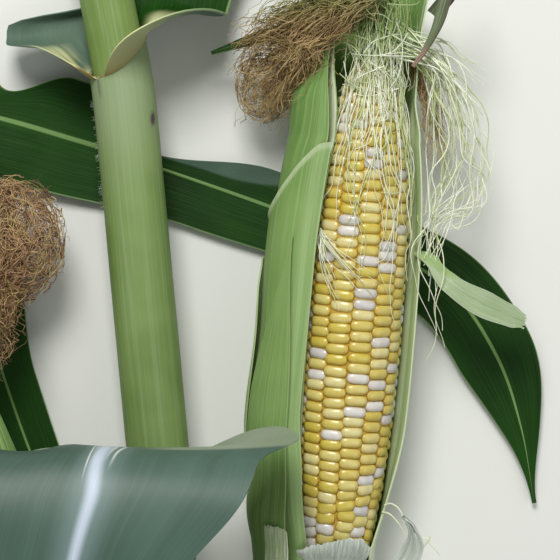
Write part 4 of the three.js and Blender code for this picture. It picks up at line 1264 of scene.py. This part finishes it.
def curled(draw, path, curl, tight):  # points along a path that curl round it, more towards its end
    count = max(8, round(path.length / silkShape["curlStep"]))
    turns, phase, seed = path.length / tight, draw.uniform(0, 7), draw.uniform(0, 90)
    points = []
    for k in range(count + 1):
        t = k / count
        here = path(t)
        size = curl * smooth(t * 1.6 + 0.1) * (0.7 + 0.5 * wobble(t * 3, seed))
        angle = phase + turns * nearTurn * t + 2.2 * wobble(t * 4, seed + 9)
        swing = Vector((math.cos(angle), 0.7 * math.sin(angle * 0.83 + seed), math.sin(angle))) * size
        stray = noise.noise_vector(here * 0.08 + Vector((seed * 0.03, 0, 0))) * (4.5 * smooth(t * 2))
        point = here + swing + stray
        point.z = max(point.z, silkShape["lowest"])
        points.append(point)
    return points


def makeDrySilk(draw, shape):
    middle, ends = Route(shape["middle"]), Route(shape["ends"])
    for i in range(shape["count"]):
        share = draw.random()
        bend, end = middle(share), ends(share)
        spread = scatter(draw, 1)
        stop = bend.lerp(end, draw.uniform(0.4, 1.02)) + spread * shape["spread"]
        half = bend.lerp(stop, 0.5) + scatter(draw, 3)
        start = Vector(shape["root"]) + scatter(draw, 2)
        if i % 3 == 0:  # a third are short and lie inside the tangle
            start = bend.lerp(stop, draw.uniform(0.1, 0.6)) + scatter(draw, 3)
            route = Route([start, start.lerp(stop, 0.5) + scatter(draw, 4), stop + scatter(draw, 4)])
        else:
            back = stop.lerp(bend, 0.28) + scatter(draw, 4)
            route = Route([start, bend + spread * 2.5, half, stop, back])
        points = curled(draw, route, shape["curl"] * draw.uniform(0.7, 1.3), draw.uniform(6.5, 11))
        yield points, draw.uniform(0.13, 0.24), draw.choice((0, 0, 0, 1, 1, 2))


def makeBall(draw, ball):  # curls that wander over a rounded heap
    middle, size = Vector(ball["middle"]), Vector(ball["size"])
    for i in range(ball["count"]):
        out = Vector((draw.gauss(0, 1), draw.gauss(0, 1), draw.uniform(-0.3, 1.6))).normalized()
        depth, heading, bend = draw.uniform(0.72, 1.02), draw.uniform(0, nearTurn), draw.uniform(-0.4, 0.4)
        points = []
        for k in range(draw.randint(9, 20)):
            points.append(middle + Vector((out.x * size.x, out.y * size.y, out.z * size.z)) * depth)
            side = out.cross(Vector((0.2, 0.1, 1))).normalized()
            step = side * math.cos(heading) + out.cross(side) * math.sin(heading)
            out = (out + step * 0.07).normalized()
            heading += bend + draw.gauss(0, 0.4)
            depth += draw.gauss(0, 0.012)
        yield points, draw.uniform(0.14, 0.24), draw.choice((0, 0, 0, 1, 2))


drySilks = {
    "silk_dry": {
        "nodes": ("silk_dry",),
        "root": earAxis.point(231, 0, 4), "middle": [(26, 124, 56), (18, 112, 54), (14, 98, 50)],
        "ends": [(-20, 108, 26), (-20, 94, 22), (-15, 78, 20), (-6, 68, 22), (4, 70, 26), (9, 84, 36)],
        "spread": 3.0, "curl": 1.1, "count": 520, "seed": 41,
        "ball": {"middle": (-7, 84, 23), "size": (12.5, 15.5, 10), "count": 260},
    },
    "over_silk": {
        "nodes": (),
        "root": earAxis.point(243, 40, 12), "middle": [(42, 120, 59), (33, 117, 61), (26, 112, 59)],
        "ends": [(14, 120, 56), (6, 108, 48), (-6, 100, 40), (6, 88, 44), (13, 92, 50)],
        "spread": 2.6, "curl": 0.9, "count": 230, "seed": 52,
    },
    "second_silk": {
        "nodes": ("second_silk",), "looks": ("rustSilk", "darkRustSilk", "sandSilk"),
        "root": (-129.6, -46, 39.6), "middle": [(-134, -2, 34), (-126, -4, 44), (-116, -8, 42)],
        "ends": [(-130, 42, 20), (-116, 44, 24), (-104, 34, 24), (-101, 18, 25), (-110, 0, 27),
                 (-120, -26, 38), (-121, -42, 34)],
        "spread": 2.6, "curl": 1.9, "count": 430, "seed": 77,
        "ball": {"middle": (-116, 17, 27), "size": (22.8, 28, 14), "count": 820},
    },
}
paleKinds = ("paleSilk", "creamSilk", "greenSilk")
sideKinds = paleKinds + ("brownSilk", "sandSilk")
frontStrands = makeFrontSilk(random.Random(silkShape["frontSeed"]))
sideStrands = makeSideSilk(random.Random(silkShape["sideSeed"]))
strandPiece("front_silk", frontStrands, paleKinds, "silk", "silk_front")
strandPiece("side_silk", sideStrands, sideKinds, "silk", "silk_side")
for name, pick in drySilks.items():
    draw = random.Random(pick["seed"])
    strands = list(makeDrySilk(draw, pick))
    if "ball" in pick:
        strands += makeBall(draw, pick["ball"])
    kinds = pick.get("looks", ("brownSilk", "darkSilk", "sandSilk"))
    strandPiece(name + "_strands", strands, kinds, "dry_silk", *pick["nodes"])
strandPiece("leaf_hairs", makeHairs(), ("hair",), "sheath")
threads = [  # loose fibres torn from the husk beside the right stub
    [(45, -97, 34.5), (47.5, -96, 36.5), (50.5, -97.5, 38.5), (52.5, -101, 38.7), (54, -106, 38.3)],
    [(44, -100, 34), (47, -100.5, 36.5), (50.5, -104, 38), (53.5, -109, 37.8)],
    [(59.5, -112, 36.5), (62, -110.5, 37.5), (64, -112.5, 38), (66.5, -115.5, 37.5), (68.8, -118.5, 36.5)],
    [(60.5, -116, 36.5), (62.5, -113, 38), (64.5, -110.5, 38.5), (63.5, -109, 38.2)],
]
strands = [(sampled([Vector(p) for p in points], 1.2), 0.4, i % 2) for i, points in enumerate(threads)]
strandPiece("torn_threads", strands, ("paleSilk", "creamSilk"), "torn_husk")
print("silk ready")


# The closed ear: husk leaves lapped round it
def closedRadius(distance):
    s = distance / closedAxis.length
    if s < 0:
        return closedEar["radius"] * 0.62 + distance * 0.5
    rise = mix(0.62, 1, smooth(s / 0.3))
    fall = 1 if s < 0.42 else 1 - 0.84 * ((s - 0.42) / 0.58) ** 1.9
    return closedEar["radius"] * rise * fall


def closedSurface(a, b):
    distance = a * closedAxis.length
    degrees = 360 * b
    lap = ((degrees + 26 * a + 40) % 120) / 120
    step = 0.9 * lap * smooth((1 - lap) / 0.05)
    ripple = 0.2 * wobble(degrees * 0.15, distance * 0.012)
    return closedAxis.point(distance, degrees, max(closedRadius(distance) - 0.8 + step + ripple, 0.8))


gridPiece("second_ear_husk", closedSurface, (120, 120), 0.8, ["husk"], "husk", ["second_ear"], offset=-1.0)


def closedLeafSurface(a, b):
    distance = mix(1, 200, a)
    degrees = mix(-mix(150, 95, a), mix(8, -60, a * a), b)
    ripple = 0.25 * wobble(degrees * 0.15, distance * 0.012, 5)
    return closedAxis.point(distance, degrees, max(closedRadius(distance), 6) + 1.9 + ripple)


gridPiece("second_husk_leaf", closedLeafSurface, (110, 40), 0.8, ("husk", "innerHusk"), "husk",
          ["second_husk"], offset=-1.0)
print("second ear ready")


# Studio
studio = {"floor": 0xE2E3DE, "floorSize": 8, "sky": 0xEEF1EE, "skyPower": 0.27}


def studioFloor():
    clearChoice()
    bpy.ops.mesh.primitive_plane_add(size=studio["floorSize"], location=(0, 0, cadBox[0][2]))
    floor = bpy.context.object
    floor.name = "floor"
    look = Look("paleFloor")
    floor.data.materials.append(look.finish({"Base Color": colour(studio["floor"]), "Roughness": 0.8}))


studioFloor()

lamps = {
    "key": {"place": (-0.15, 0.85, 1.0), "size": 0.5, "power": 14, "tint": (1.0, 0.99, 0.97)},
    "fill": {"place": (0.9, -0.2, 1.0), "size": 1.0, "power": 3.6, "tint": (0.97, 0.99, 1.0)},
    "low": {"place": (-0.5, -0.9, 0.9), "size": 1.2, "power": 2.3, "tint": (0.98, 1.0, 0.98)},
}
for name, pick in lamps.items():
    lamp = bpy.data.lights.new(name, "AREA")
    lamp.size = pick["size"]
    lamp.energy = pick["power"]
    lamp.color = pick["tint"]
    holder = setOut(name, lamp)
    holder.location = pick["place"]
    holder.rotation_euler = (-Vector(pick["place"])).to_track_quat("-Z", "Y").to_euler()

world = bpy.data.worlds.new("studio")
world.use_nodes = True
world.node_tree.nodes["Background"].inputs["Color"].default_value = colour(studio["sky"])
world.node_tree.nodes["Background"].inputs["Strength"].default_value = studio["skyPower"]
bpy.context.scene.world = world

# The camera looks straight down, with the photograph's field at the height of the kernels
bpy.context.scene.view_settings.view_transform = "Standard"
view = {"aim": (0, 0, 35), "distance": 750, "field": 241, "sensor": 36}
lens = bpy.data.cameras.new("camera")
lens.sensor_width = view["sensor"]
lens.lens = view["sensor"] * view["distance"] / view["field"]
lens.clip_end = 20
camera = setOut("camera", lens)
camera.location = place(view["aim"]) + upward * view["distance"] * mm
bpy.context.scene.camera = camera
